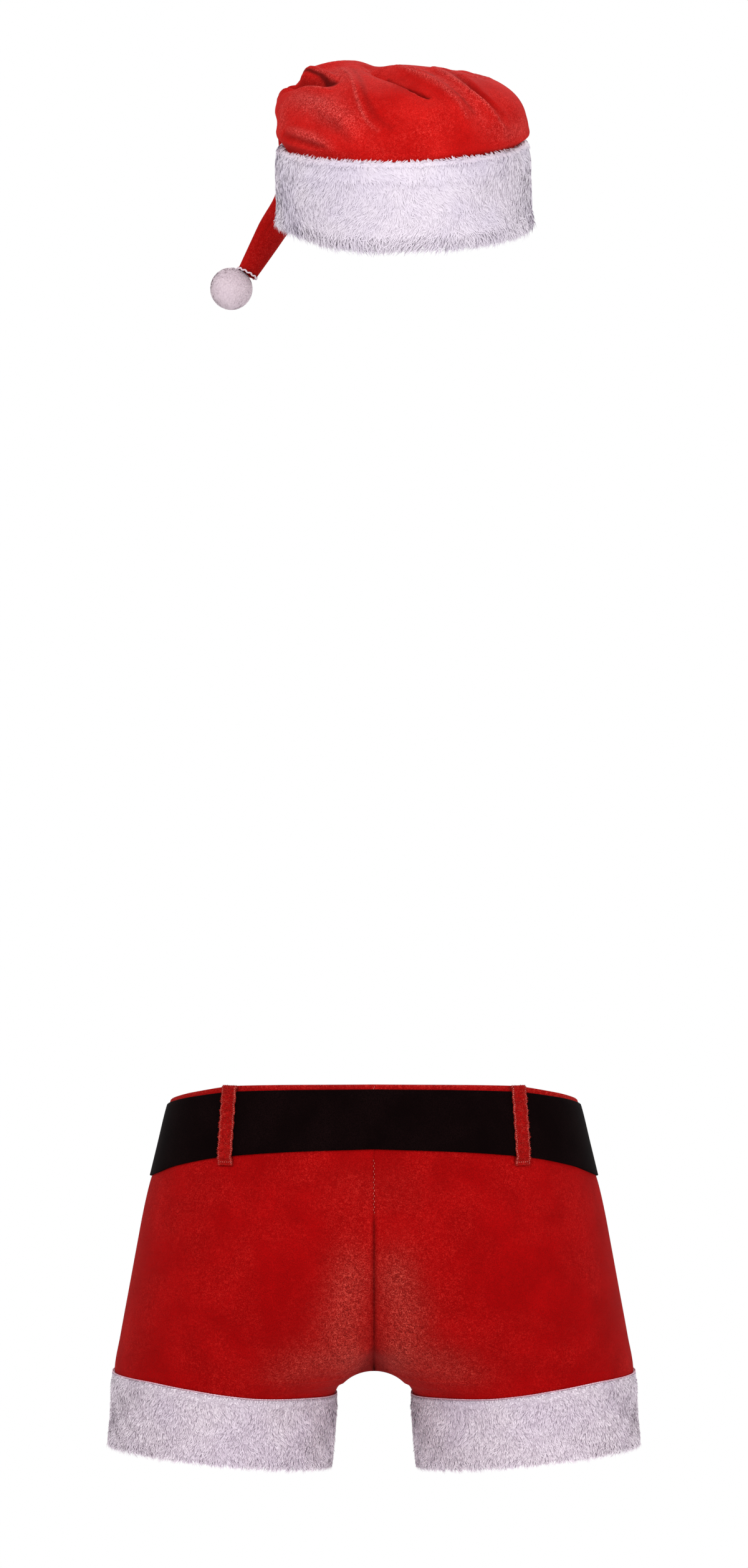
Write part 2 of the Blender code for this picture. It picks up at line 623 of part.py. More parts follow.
NEAR_BEARINGS = panel_bearings(LEFT_SEAM, 360.0 + RIGHT_SEAM, NEAR_STEPS)
FAR_BEARINGS = panel_bearings(RIGHT_SEAM, LEFT_SEAM, FAR_STEPS)


def build():
    """Makes every piece of the set."""
    for left, side in ((True, "left"), (False, "right")):
        panel(f"shorts_back_{side}", True, left)
        panel(f"shorts_front_{side}", False, left)
        cuff(f"cuff_{side}", left)
        loop(f"belt_loop_back_{side}", True, left)
        loop(f"belt_loop_front_{side}", False, left)
    waistband()
    belt()
    hat_band()
    crown_panel("hat_crown_near", NEAR_BEARINGS)
    crown_panel("hat_crown_far", FAR_BEARINGS)
    pompom()


for old in list(bpy.data.objects):
    bpy.data.objects.remove(old)
SET = bpy.data.collections.new("santa_shorts_and_hat")
bpy.context.scene.collection.children.link(SET)
build()
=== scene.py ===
"""Looks of the santa shorts and hat set: plush, fur, belt, stitching, floor, lights and camera."""

import logging
import math
from dataclasses import dataclass
from enum import Enum
from typing import Callable, Sequence

import bmesh
import bpy
import numpy as np
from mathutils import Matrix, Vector


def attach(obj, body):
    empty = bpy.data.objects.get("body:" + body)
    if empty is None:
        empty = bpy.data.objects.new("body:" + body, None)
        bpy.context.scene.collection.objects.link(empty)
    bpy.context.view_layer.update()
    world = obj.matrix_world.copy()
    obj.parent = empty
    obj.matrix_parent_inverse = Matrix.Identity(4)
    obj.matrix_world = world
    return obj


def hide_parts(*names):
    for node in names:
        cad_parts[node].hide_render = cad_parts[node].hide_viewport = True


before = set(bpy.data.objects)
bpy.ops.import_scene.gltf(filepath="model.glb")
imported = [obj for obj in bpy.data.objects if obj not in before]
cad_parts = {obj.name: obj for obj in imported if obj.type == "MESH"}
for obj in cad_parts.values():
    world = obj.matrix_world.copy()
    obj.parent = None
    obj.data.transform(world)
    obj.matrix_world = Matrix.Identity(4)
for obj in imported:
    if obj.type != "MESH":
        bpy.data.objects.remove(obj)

LOG = logging.getLogger("santa_set")
# Sizes are in millimetres, and become metres where the meshes are made.
MM = 0.001
MERGE_METRES = 1e-6
ROUNDING_STEPS = 2
SHARP_DEGREES = 60.0
# A surface's points, and a number for each place on one, both from shares across and up.
Place = Callable[[np.ndarray, np.ndarray], np.ndarray]
Field = Callable[[np.ndarray, np.ndarray], np.ndarray]

# Shorts by height: the side seam's x and y, the depth of the seat and of the front from the middle,
# and how far the seat and the front divide into two legs.
CROTCH_Z = -214.5
FIGURE_COLUMNS = ("z", "side", "back", "front", "seam_y", "back_cleft", "front_cleft", "roundness")
FIGURE = (
    (24.0, 157.0, 103.0, 98.0, 0.0, 0.00, 0.00, 2.45),
    (0.0, 163.7, 108.0, 101.0, 0.0, 0.02, 0.00, 2.45),
    (-36.0, 172.2, 117.0, 105.0, -2.0, 0.07, 0.00, 2.40),
    (-56.0, 177.3, 122.0, 107.0, -3.0, 0.11, 0.00, 2.35),
    (-64.0, 179.7, 124.5, 109.0, -3.5, 0.14, 0.00, 2.30),
    (-86.0, 184.7, 130.0, 112.0, -5.0, 0.20, 0.02, 2.28),
    (-110.0, 189.2, 133.0, 113.0, -6.0, 0.27, 0.06, 2.25),
    (-146.0, 195.8, 132.0, 110.5, -7.0, 0.345, 0.18, 2.20),
    (-185.0, 203.0, 123.0, 103.0, -7.0, 0.425, 0.37, 2.15),
    (CROTCH_Z, 208.0, 111.0, 97.0, -6.0, 0.50, 0.50, 2.10),
    (-240.0, 208.6, 103.0, 94.0, -5.0, 0.50, 0.50, 2.05),
    (-300.0, 215.4, 97.0, 91.0, -3.0, 0.50, 0.50, 2.00),
)
ARCH_HALF_WIDTH = 31.0
ARCH_HEIGHT = 19.0
LEG_GAP_WIDENS = 0.08

# Edges round the shorts by turn: -1 is the centre back, 0 the side seam and 1 the centre front.
EDGE_COLUMNS = ("turn", "waist_top", "belt_top", "belt_foot", "waistband_foot")
EDGES = (
    (-1.00, 20.3, 16.2, -30.0, -18.0),
    (-0.75, 19.9, 15.6, -32.0, -20.0),
    (-0.50, 18.5, 13.6, -36.8, -25.0),
    (-0.30, 12.4, 8.0, -45.5, -34.0),
    (-0.15, 6.8, 2.6, -54.0, -42.0),
    (0.00, 2.0, -2.0, -58.5, -46.0),
    (0.30, -4.0, -8.0, -62.0, -50.0),
    (0.60, -8.0, -12.0, -63.5, -51.5),
    (1.00, -10.0, -14.0, -64.0, -52.0),
)

# The cuffs' edges: share 0 is the side seam and 1 the inseam.
CUFF_COLUMNS = ("share", "top", "foot")
CUFF_EDGES = (
    (0.00, -213.5, -271.0),
    (0.25, -215.0, -271.8),
    (0.40, -219.5, -274.8),
    (0.50, -223.8, -277.2),
    (0.60, -227.2, -280.5),
    (0.75, -229.3, -284.5),
    (0.90, -231.4, -287.8),
    (1.00, -232.0, -289.5),
)
PANEL_GIRTH = 270.0

# Hat: its place and tilt, its band, and the crown's stations from the skirt in the band to the tail's tip.
HAT_PLACE = (24.5, 10.0, 703.0)
HAT_TILT_BACK = 14.0
HAT_ROLL_LEFT = 1.5
BAND_HEIGHT = 68.0
BAND_OUTER = (108.0, 121.0)
BAND_INNER = (94.5, 107.5)
SKIRT_GAP = 0.3
FALL_BEARING = 47.0
CROWN_COLUMNS = ("in_along", "in_up", "out_along", "out_up", "half", "shift", "slant", "oval")
CROWN = (
    (100.5, 56.0, -100.5, 56.0, 100.0, 0.0, 0.0, 0.0),
    (100.5, 66.0, -100.5, 66.0, 100.0, 0.0, 0.0, 0.0),
    (103.0, 72.5, -104.5, 72.5, 103.5, 2.0, 0.0, 0.4),
    (105.0, 75.0, -105.0, 81.0, 101.0, 0.0, 0.0, 0.6),
    (106.0, 77.5, -103.0, 93.0, 98.0, -1.0, 0.0, 0.8),
    (107.0, 80.0, -97.0, 104.0, 94.5, -0.5, 0.0, 1.0),
    (108.0, 83.0, -85.0, 113.5, 91.0, 0.0, 0.0, 1.0),
    (109.0, 86.0, -64.0, 121.5, 86.5, 0.0, 0.0, 1.0),
    (110.5, 89.0, -36.0, 125.5, 79.0, 0.5, 0.0, 1.0),
    (112.0, 91.5, -4.0, 127.0, 70.0, 1.5, 0.0, 1.0),
    (113.5, 92.5, 30.0, 127.5, 61.5, 3.0, 0.0, 1.0),
    (115.0, 91.0, 60.0, 128.0, 54.0, 6.0, 0.0, 1.0),
    (116.0, 86.0, 86.0, 124.0, 48.0, 8.0, 0.0, 1.0),
    (116.3, 77.0, 106.0, 114.0, 42.0, 9.0, 0.0, 1.0),
    (116.3, 65.0, 121.0, 98.0, 35.0, 8.5, 0.0, 1.0),
    (116.3, 50.0, 130.0, 76.0, 28.0, 6.0, 0.0, 1.0),
    (116.0, 32.0, 133.5, 47.0, 20.5, 1.5, -0.05, 1.0),
    (116.0, 12.0, 134.0, 18.0, 16.5, -6.5, -0.25, 1.0),
    (119.5, -14.0, 134.0, -11.0, 12.6, -30.5, -0.50, 1.0),
    (125.6, -44.5, 137.6, -43.5, 7.8, -53.8, -0.65, 1.0),
)
LAST_STATION = len(CROWN) - 1
LEFT_SEAM = 180.0 + FALL_BEARING
RIGHT_SEAM = FALL_BEARING

# Folds of the crown, each through three places given by bearing and station, with height and half-width.
FOLDS = (
    (308.0, 3.3, 311.0, 7.8, 346.0, 10.5, 3.5, 9.0),
    (300.0, 3.2, 301.0, 6.2, 304.0, 8.2, -2.5, 8.0),
    (295.0, 3.4, 290.0, 5.2, 284.0, 6.9, 2.5, 9.0),
    (334.0, 6.1, 338.0, 8.5, 352.0, 10.1, -6.0, 7.0),
    (347.0, 4.2, 348.0, 7.3, 360.0, 9.4, 4.0, 9.0),
    (353.0, 4.4, 358.0, 6.6, 368.0, 8.6, -3.0, 8.0),
    (366.0, 3.3, 359.0, 5.9, 378.0, 8.4, 4.0, 9.0),
    (386.0, 7.0, 394.0, 7.8, 402.0, 8.5, -2.5, 6.0),
    (290.0, 2.0, 267.0, 3.2, 246.0, 3.8, 3.0, 9.0),
    (278.0, 10.6, 296.0, 10.2, 307.0, 9.2, -8.0, 7.0),
    (304.0, 11.4, 330.0, 11.3, 356.0, 11.0, 3.0, 10.0),
    (60.0, 3.0, 66.0, 5.5, 62.0, 8.0, 3.5, 10.0),
    (84.0, 2.6, 92.0, 5.2, 86.0, 8.2, -3.5, 9.0),
    (104.0, 3.0, 114.0, 5.0, 110.0, 7.8, 4.0, 10.0),
    (136.0, 3.2, 134.0, 5.4, 126.0, 8.0, -3.0, 9.0),
    (72.0, 9.2, 62.0, 10.4, 44.0, 11.0, -3.0, 9.0),
    (200.0, 3.4, 214.0, 4.2, 232.0, 4.6, -2.5, 8.0),
)
FOLD_POINTS = 14
FOLDS_BEGIN = (1.2, 2.6)
POMPOM_ALONG, POMPOM_ASIDE, POMPOM_UP = 137.8, -65.7, -55.1


class Side(Enum):
    """The wearer's side that a piece lies on, as the sign of its x."""

    LEFT = -1.0
    RIGHT = 1.0


class Curve:
    """A smooth curve through a table's values that never overshoots them."""

    def __init__(self, at: Sequence[float], values: Sequence[float]) -> None:
        """Works out the curve's slopes.

        Args:
            at: Where the values are given.
            values: The values there.
        """
        order = np.argsort(at)
        self.at = np.asarray(at, float)[order]
        self.values = np.asarray(values, float)[order]
        self.step = np.diff(self.at)
        slope = np.diff(self.values) / self.step
        self.tangent = np.concatenate([slope[:1], np.zeros(len(slope) - 1), slope[-1:]])
        for i in range(1, len(slope)):
            if slope[i - 1] * slope[i] > 0:
                before = 2 * self.step[i] + self.step[i - 1]
                after = self.step[i] + 2 * self.step[i - 1]
                self.tangent[i] = (before + after) / (before / slope[i - 1] + after / slope[i])

    def __call__(self, at: np.ndarray) -> np.ndarray:
        """The curve's values at these places.

        Args:
            at: The places.

        Returns:
            A value for each.
        """
        at = np.clip(at, self.at[0], self.at[-1])
        i = np.clip(np.searchsorted(self.at, at) - 1, 0, len(self.step) - 1)
        t = (at - self.at[i]) / self.step[i]
        start = (2 * t**3 - 3 * t**2 + 1) * self.values[i]
        start += (t**3 - 2 * t**2 + t) * self.step[i] * self.tangent[i]
        end = (3 * t**2 - 2 * t**3) * self.values[i + 1]
        end += (t**3 - t**2) * self.step[i] * self.tangent[i + 1]
        return start + end


def curves(rows: Sequence[Sequence[float]], names: Sequence[str]) -> dict[str, Curve]:
    """A curve for each column of a table, against its first column."""
    table = np.array(rows, float)
    return {name: Curve(table[:, 0], table[:, k]) for k, name in enumerate(names) if k}


def unit(vectors: np.ndarray) -> np.ndarray:
    """The same directions with length 1."""
    return vectors / np.maximum(np.linalg.norm(vectors, axis=-1, keepdims=True), 1e-12)


def smooth(low: float, high: float, at: np.ndarray) -> np.ndarray:
    """A soft step from 0 at low to 1 at high."""
    t = np.clip((at - low) / (high - low), 0.0, 1.0)
    return t * t * (3 - 2 * t)


def line_lift(
    points: np.ndarray, line: np.ndarray, spread: float, fade: np.ndarray, square: float = 2.0
) -> np.ndarray:
    """How strongly a fold along a line reaches each point.

    Args:
        points: The surface's points.
        line: The fold's points in order.
        spread: The fold's half-width.
        fade: The fold's strength at each of its points.
        square: 2 for a round fold, and more for one with a flat top and steep sides.

    Returns:
        A strength from 0 to 1 for each point.
    """
    closest = np.zeros(points.shape[:-1])
    for here, after, strength in zip(line[:-1], line[1:], (fade[:-1] + fade[1:]) / 2):
        step = after - here
        along = np.clip(((points - here) @ step) / (step @ step), 0, 1)
        away = np.linalg.norm(points - here - along[..., None] * step, axis=-1)
        closest = np.maximum(closest, strength * np.exp(-((away / spread) ** square)))
    return closest


def path_shares(*parts: np.ndarray) -> np.ndarray:
    """How far along a path each of its points is, from 0 to 1, where parts are their coordinates."""
    steps = np.hypot(*(np.diff(part) for part in parts))
    return np.concatenate([[0.0], np.cumsum(steps)]) / steps.sum()


def everywhere(u: np.ndarray, v: np.ndarray) -> np.ndarray:
    """1 at every place of a surface."""
    return np.ones_like(u)


def nowhere(u: np.ndarray, v: np.ndarray) -> np.ndarray:
    """0 at every place of a surface."""
    return np.zeros_like(u)


def wave(share: np.ndarray) -> np.ndarray:
    """A wave that comes round once for each whole share."""
    return np.sin(2 * math.pi * share)


class ShortsForm:
    """The shorts' worn surface, the same as their solids follow."""

    section_points = 90
    search_points = 200
    turn_step = 0.02
    height_step = 1.0
    figure = curves(FIGURE, FIGURE_COLUMNS)
    edges = curves(EDGES, EDGE_COLUMNS)
    cuffs = curves(CUFF_EDGES, CUFF_COLUMNS)

    def leg_inner_x(self, z: np.ndarray) -> np.ndarray:
        """How far the inseam stands from the middle at height z, below the crotch.

        Args:
            z: Heights.

        Returns:
            A distance for each.
        """
        drop = np.maximum(CROTCH_Z - z, 0.0)
        arch = ARCH_HALF_WIDTH * np.sqrt(1 - (1 - np.minimum(drop / ARCH_HEIGHT, 1.0)) ** 2)
        return arch + LEG_GAP_WIDENS * np.maximum(drop - ARCH_HEIGHT, 0.0)

    def points(self, z: np.ndarray, turn: np.ndarray) -> np.ndarray:
        """Points of the right half.

        Args:
            z: Heights.
            turn: -1 at the centre back, 0 at the side seam and 1 at the centre front.

        Returns:
            The points, with x, y and z in the last axis.
        """
        z, turn = np.broadcast_arrays(np.asarray(z, float), np.asarray(turn, float))
        shape = z.shape
        z, turn = z.reshape(-1, 1), turn.reshape(-1, 1)
        back, below = turn < 0, z < CROTCH_Z
        side, seam_y = self.figure["side"](z), self.figure["seam_y"](z)
        depth = np.where(back, self.figure["back"](z) + seam_y, self.figure["front"](z) - seam_y)
        cleft = np.where(back, self.figure["back_cleft"](z), self.figure["front_cleft"](z))
        power = 2 / self.figure["roundness"](z)
        middle = np.where(below, (side + self.leg_inner_x(z)) / 2, side * cleft)
        half = side - middle
        reach = np.clip(middle / half, 0.0, 1.0)
        start = np.where(below, math.pi, np.arccos(-(reach ** (1 / power))))
        angle = start * np.linspace(1.0, 0.0, self.section_points)
        cosine, sine = np.cos(angle), np.abs(np.sin(angle))
        x = middle + half * np.sign(cosine) * np.abs(cosine) ** power
        y = seam_y + np.where(back, -1.0, 1.0) * depth * sine**power
        steps = np.hypot(np.diff(x, axis=1), np.diff(y, axis=1))
        along = np.concatenate([np.zeros_like(z), np.cumsum(steps, axis=1)], axis=1)
        wanted = (1 - np.abs(turn)) * along[:, -1:]
        i = np.clip((along <= wanted).sum(axis=1, keepdims=True) - 1, 0, self.section_points - 2)
        low, high = np.take_along_axis(along, i, 1), np.take_along_axis(along, i + 1, 1)
        t = (wanted - low) / (high - low)
        at_x = np.take_along_axis(x, i, 1) * (1 - t) + np.take_along_axis(x, i + 1, 1) * t
        at_y = np.take_along_axis(y, i, 1) * (1 - t) + np.take_along_axis(y, i + 1, 1) * t
        return np.concatenate([at_x, at_y, z], axis=1).reshape(*shape, 3)

    def outward(self, z: np.ndarray, turn: np.ndarray) -> np.ndarray:
        """The outward direction of the surface.

        Args:
            z: Heights.
            turn: Turns, as for points.

        Returns:
            A direction of length 1 for each place.
        """
        z, turn = np.broadcast_arrays(np.asarray(z, float), np.asarray(turn, float))
        after, before = np.minimum(turn + self.turn_step, 1), np.maximum(turn - self.turn_step, -1)
        across = self.points(z, after) - self.points(z, before)
        below, top, foot = z < CROTCH_Z, z + self.height_step, z - self.height_step
        top = np.where(below, np.minimum(top, CROTCH_Z), top)
        foot = np.where(below, foot, np.maximum(foot, CROTCH_Z))
        return unit(np.cross(across, self.points(top, turn) - self.points(foot, turn)))

    def lifted(self, z: np.ndarray, turn: np.ndarray, lift: np.ndarray) -> np.ndarray:
        """Points of the surface moved out by lift."""
        return self.points(z, turn) + np.asarray(lift, float)[..., None] * self.outward(z, turn)

    def turn_at(self, z: float, x: float, back: bool) -> float:
        """The turn where the surface at height z stands x from the middle."""
        turns = np.linspace(-1 if back else 1, 0, self.search_points)
        return float(np.interp(x, self.points(np.full(len(turns), z), turns)[:, 0], turns))

    def wrapped(self, way: np.ndarray) -> np.ndarray:
        """A way round the waist, brought back between -2 and 2 where the belt laps."""
        return np.where(way > 2, way - 4, np.where(way < -2, way + 4, way))

    def round_waist(self, way: np.ndarray, z: np.ndarray, lift: np.ndarray) -> np.ndarray:
        """Points all round the waist.

        Args:
            way: 0 at the centre back, and from there up to 2 on the right and down to -2 on the left.
            z: Heights.
            lift: How far the points stand out from the surface.

        Returns:
            The points.
        """
        way = self.wrapped(way)
        made = self.lifted(z, np.abs(way) - 1, lift)
        return made * np.stack([np.sign(way), np.ones_like(way), np.ones_like(way)], axis=-1)

    def edge_round(self, name: str, way: np.ndarray) -> np.ndarray:
        """An edge's height all round the waist."""
        return self.edges[name](np.abs(self.wrapped(way)) - 1)


class HatForm:
    """The hat's worn surface, the same as its solids follow."""

    stations = curves([(i, *row) for i, row in enumerate(CROWN)], ("station", *CROWN_COLUMNS))
    fall = math.radians(FALL_BEARING)
    along = np.array([-math.cos(fall), math.sin(fall), 0.0])
    aside = np.array([math.sin(fall), math.cos(fall), 0.0])
    up = np.array([0.0, 0.0, 1.0])
    bearing_step = 1.0
    station_step = 0.05

    def turning(self) -> np.ndarray:
        """The rotation from the hat's own frame to its tilted place.

        Returns:
            A 3 by 3 matrix.
        """
        tilt, roll = math.radians(HAT_TILT_BACK), math.radians(HAT_ROLL_LEFT)
        back = np.array(
            [[1, 0, 0], [0, math.cos(tilt), -math.sin(tilt)], [0, math.sin(tilt), math.cos(tilt)]]
        )
        side = np.array(
            [[math.cos(roll), 0, -math.sin(roll)], [0, 1, 0], [math.sin(roll), 0, math.cos(roll)]]
        )
        return side @ back

    def to_world(self, points: np.ndarray) -> np.ndarray:
        """Points of the hat's frame in their place above the shorts."""
        return points @ self.turning().T + np.array(HAT_PLACE)

    def level(self, bearing: np.ndarray) -> np.ndarray:
        """The level direction at a bearing: 0 is away from the fall, 90 the far side, 180 the fall."""
        angle = np.radians(bearing)[..., None]
        return -self.along * np.cos(angle) + self.aside * np.sin(angle)

    def oval_radius(self, direction: np.ndarray, half_x: float, half_y: float) -> np.ndarray:
        """How far an oval of these half-widths reaches in a level direction."""
        return 1 / np.sqrt((direction[..., :1] / half_x) ** 2 + (direction[..., 1:2] / half_y) ** 2)

    def smooth_crown(self, bearing: np.ndarray, station: np.ndarray) -> np.ndarray:
        """Points of the crown before its folds.

        Args:
            bearing: Bearings round the crown.
            station: Stations from the skirt to the tip.

        Returns:
            The points in the hat's own frame.
        """
        bearing, station = np.broadcast_arrays(np.asarray(bearing, float), np.asarray(station, float))
        at = {name: self.stations[name](station)[..., None] for name in CROWN_COLUMNS}
        inner = at["in_along"] * self.along + at["in_up"] * self.up
        outer = at["out_along"] * self.along + at["out_up"] * self.up
        middle, reach = (inner + outer) / 2 + at["shift"] * self.aside, (outer - inner) / 2
        angle = np.radians(bearing)[..., None]
        across = at["half"] * (self.aside + at["slant"] * self.up)
        fallen = middle + reach * np.cos(angle) + across * np.sin(angle)
        skirt = [size - SKIRT_GAP for size in BAND_INNER]
        swell = np.linalg.norm(reach, axis=-1, keepdims=True) / self.oval_radius(self.along, *skirt)
        based = middle + self.level(bearing) * self.oval_radius(self.level(bearing), *skirt) * swell
        based = based + reach * self.up * np.cos(angle)
        return based * (1 - at["oval"]) + fallen * at["oval"]

    def crown_outward(self, bearing: np.ndarray, station: np.ndarray) -> np.ndarray:
        """The outward direction of the crown before its folds.

        Args:
            bearing: Bearings round the crown.
            station: Stations from the skirt to the tip.

        Returns:
            A direction of length 1 for each place.
        """
        after = self.smooth_crown(bearing + self.bearing_step, station)
        across = after - self.smooth_crown(bearing - self.bearing_step, station)
        above = self.smooth_crown(bearing, np.minimum(station + self.station_step, LAST_STATION))
        below = self.smooth_crown(bearing, np.maximum(station - self.station_step, 0))
        return unit(np.cross(across, above - below))

    def along_lines(self, points: np.ndarray, rows: Sequence[Sequence[float]]) -> np.ndarray:
        """The sum of soft ridges and troughs along lines of the crown.

        Args:
            points: Points of the crown before its folds.
            rows: Three places given by bearing and station, a height, a half-width, and a squareness if any.

        Returns:
            A height for each point.
        """
        total = np.zeros(points.shape[:-1])
        s = np.linspace(0, 1, FOLD_POINTS)
        first, via, last = (1 - s) * (1 - 2 * s), 4 * s * (1 - s), s * (2 * s - 1)
        fade = np.sin(math.pi * np.clip(s, 0.06, 0.94)) ** 0.5
        for bearing_0, station_0, bearing_1, station_1, bearing_2, station_2, height, *shape in rows:
            line = self.smooth_crown(
                bearing_0 * first + bearing_1 * via + bearing_2 * last,
                station_0 * first + station_1 * via + station_2 * last,
            )
            total += height * line_lift(points, line, shape[0], fade, *shape[1:])
        return total

    def crown(
        self, bearing: np.ndarray, station: np.ndarray, finer: Sequence[Sequence[float]]
    ) -> np.ndarray:
        """Points of the folded crown.

        Args:
            bearing: Bearings round the crown.
            station: Stations from the skirt to the tip.
            finer: More folds than the solids have, in the same columns.

        Returns:
            The points in the hat's own frame.
        """
        bearing, station = np.broadcast_arrays(np.asarray(bearing, float), np.asarray(station, float))
        points = self.smooth_crown(bearing, station)
        lift = self.along_lines(points, (*FOLDS, *finer)) * smooth(*FOLDS_BEGIN, station)
        return points + lift[..., None] * self.crown_outward(bearing, station)


SHORTS = ShortsForm()
HAT = HatForm()


class Net:
    """A surface kept as a fine net of points, for placing fur and stitches on it."""

    def __init__(self, place: Place, columns: int, rows: int, turned: bool = False) -> None:
        """Works out the net's points and directions.

        Args:
            place: The surface, from its two shares to points in millimetres.
            columns: Steps across.
            rows: Steps up.
            turned: True where across and up give an inward direction.
        """
        across, up = np.meshgrid(np.linspace(0, 1, columns + 1), np.linspace(0, 1, rows + 1))
        self.points = place(across, up)
        self.size = np.array([columns, rows])
        self.across = unit(np.gradient(self.points, axis=1))
        self.up = unit(np.gradient(self.points, axis=0))
        self.normals = unit(np.cross(self.across, self.up)) * (-1.0 if turned else 1.0)

    def read(self, values: np.ndarray, u: np.ndarray, v: np.ndarray) -> np.ndarray:
        """Values of the net between its points.

        Args:
            values: A value for each of the net's points.
            u: Shares across.
            v: Shares up.

        Returns:
            A value for each place.
        """
        x, y = np.clip(u, 0, 1) * self.size[0], np.clip(v, 0, 1) * self.size[1]
        i = np.minimum(x.astype(int), self.size[0] - 1)
        j = np.minimum(y.astype(int), self.size[1] - 1)
        s, t = (x - i)[:, None], (y - j)[:, None]
        low = values[j, i] * (1 - s) + values[j, i + 1] * s
        high = values[j + 1, i] * (1 - s) + values[j + 1, i + 1] * s
        return low * (1 - t) + high * t

    def areas(self) -> np.ndarray:
        """The area of each of the net's cells.

        Returns:
            The areas by row and column.
        """
        a = self.points[1:, 1:] - self.points[:-1, :-1]
        b = self.points[1:, :-1] - self.points[:-1, 1:]
        return np.linalg.norm(np.cross(a, b), axis=-1) / 2

    def scatter(self, count: int, random: np.random.Generator) -> tuple[np.ndarray, np.ndarray]:
        """Places spread evenly over the surface.

        Args:
            count: How many places.
            random: The source of the draws.

        Returns:
            Their shares across and up.
        """
        areas = self.areas().ravel()
        cells = random.choice(len(areas), size=count, p=areas / areas.sum())
        j, i = np.divmod(cells, self.size[0])
        u = (i + random.random(count)) / self.size[0]
        v = (j + random.random(count)) / self.size[1]
        return u, v


class Shading:
    """A material's nodes, with short ways to add and join them."""

    # The sockets of a Mix node that stand for its factor and its two colours, and for the mixed colour.
    mix_inputs = (0, 6, 7)
    mix_output = 2

    def __init__(self, name: str) -> None:
        """Starts a material with a Principled shader.

        Args:
            name: The material's name.
        """
        self.material = bpy.data.materials.new(name)
        self.material.use_nodes = True
        self.tree = self.material.node_tree
        self.shader = self.tree.nodes["Principled BSDF"]
        self.place = self.tree.nodes.new("ShaderNodeTexCoord").outputs["Object"]

    def feed(self, socket: bpy.types.NodeSocket, value: object) -> None:
        """Joins a socket to another, or sets its constant.

        Args:
            socket: The input.
            value: A socket, a number or a colour, which is opaque where it has three parts.
        """
        if isinstance(value, bpy.types.NodeSocket):
            self.tree.links.new(value, socket)
        elif isinstance(value, tuple) and len(value) == 3:
            socket.default_value = (*value, 1.0)
        else:
            socket.default_value = value

    def node(self, kind: str, values: dict | None = None, **settings: object) -> bpy.types.Node:
        """Adds a node.

        Args:
            kind: The node's type name.
            values: Its inputs, each a socket to join or a constant.
            settings: Its properties.

        Returns:
            The node.
        """
        made = self.tree.nodes.new(kind)
        for name, value in settings.items():
            setattr(made, name, value)
        for name, value in (values or {}).items():
            self.feed(made.inputs[name], value)
        return made

    def surface(
        self, colour: bpy.types.NodeSocket, roughness: float, gloss: float, sheen: float, spread: float
    ) -> None:
        """Sets the shader's main inputs.

        Args:
            colour: The base colour.
            roughness: The surface's roughness.
            gloss: Its specular level.
            sheen: The weight of its sheen.
            spread: The sheen's roughness.
        """
        names = ("Base Color", "Roughness", "Specular IOR Level", "Sheen Weight", "Sheen Roughness")
        for name, value in zip(names, (colour, roughness, gloss, sheen, spread)):
            self.feed(self.shader.inputs[name], value)

    def attribute(self, name: str) -> bpy.types.NodeSocket:
        """A number stored on the mesh."""
        return self.node("ShaderNodeAttribute", attribute_name=name).outputs["Fac"]

    def noise(
        self, scale: float, detail: float = 2.0, rough: float = 0.5, bend: float = 0.0
    ) -> bpy.types.NodeSocket:
        """Noise over the surface.

        Args:
            scale: How many waves it has in a metre.
            detail: How many finer layers it has.
            rough: How strong the finer layers are.
            bend: How far it is bent into worm-like marks.

        Returns:
            A number about 0.5.
        """
        values = {
            "Vector": self.place, "Scale": scale, "Detail": detail, "Roughness": rough, "Distortion": bend
        }
        return self.node("ShaderNodeTexNoise", values).outputs["Fac"]

    def ramp(self, factor: bpy.types.NodeSocket, low: float, high: float) -> bpy.types.NodeSocket:
        """A factor stretched to the range from 0 to 1.

        Args:
            factor: The factor.
            low: The value that becomes 0.
            high: The value that becomes 1.

        Returns:
            The stretched factor.
        """
        values = {"Value": factor, "From Min": low, "From Max": high}
        return self.node("ShaderNodeMapRange", values).outputs["Result"]

    def math(self, operation: str, *values: object) -> bpy.types.NodeSocket:
        """Arithmetic on numbers.

        Args:
            operation: The node's operation.
            values: Its two or three numbers, each a socket or a constant.

        Returns:
            The result.
        """
        made = self.node("ShaderNodeMath", operation=operation)
        for socket, value in zip(made.inputs, values):
            self.feed(socket, value)
        return made.outputs[0]

    def mix(self, factor: object, a: object, b: object, blend: str = "MIX") -> bpy.types.NodeSocket:
        """A mix of two colours.

        Args:
            factor: The share of the second colour.
            a: The first colour.
            b: The second colour.
            blend: How the second is laid on the first.

        Returns:
            The mixed colour.
        """
        made = self.node("ShaderNodeMix", data_type="RGBA", blend_type=blend)
        for place, value in zip(self.mix_inputs, (factor, a, b)):
            self.feed(made.inputs[place], value)
        return made.outputs[self.mix_output]

    def bump(self, height: bpy.types.NodeSocket, strength: float, depth: float) -> None:
        """Raises the surface by a height.

        Args:
            height: The height, from 0 to 1.
            strength: How strongly it shows.
            depth: How many metres it is at most.
        """
        values = {"Height": height, "Strength": strength, "Distance": depth}
        bumped = self.node("ShaderNodeBump", values).outputs["Normal"]
        self.feed(self.shader.inputs["Normal"], bumped)


def shaded(colour: Sequence[float], share: float) -> tuple[float, ...]:
    """A colour with this share of its light."""
    return tuple(share * part for part in colour)


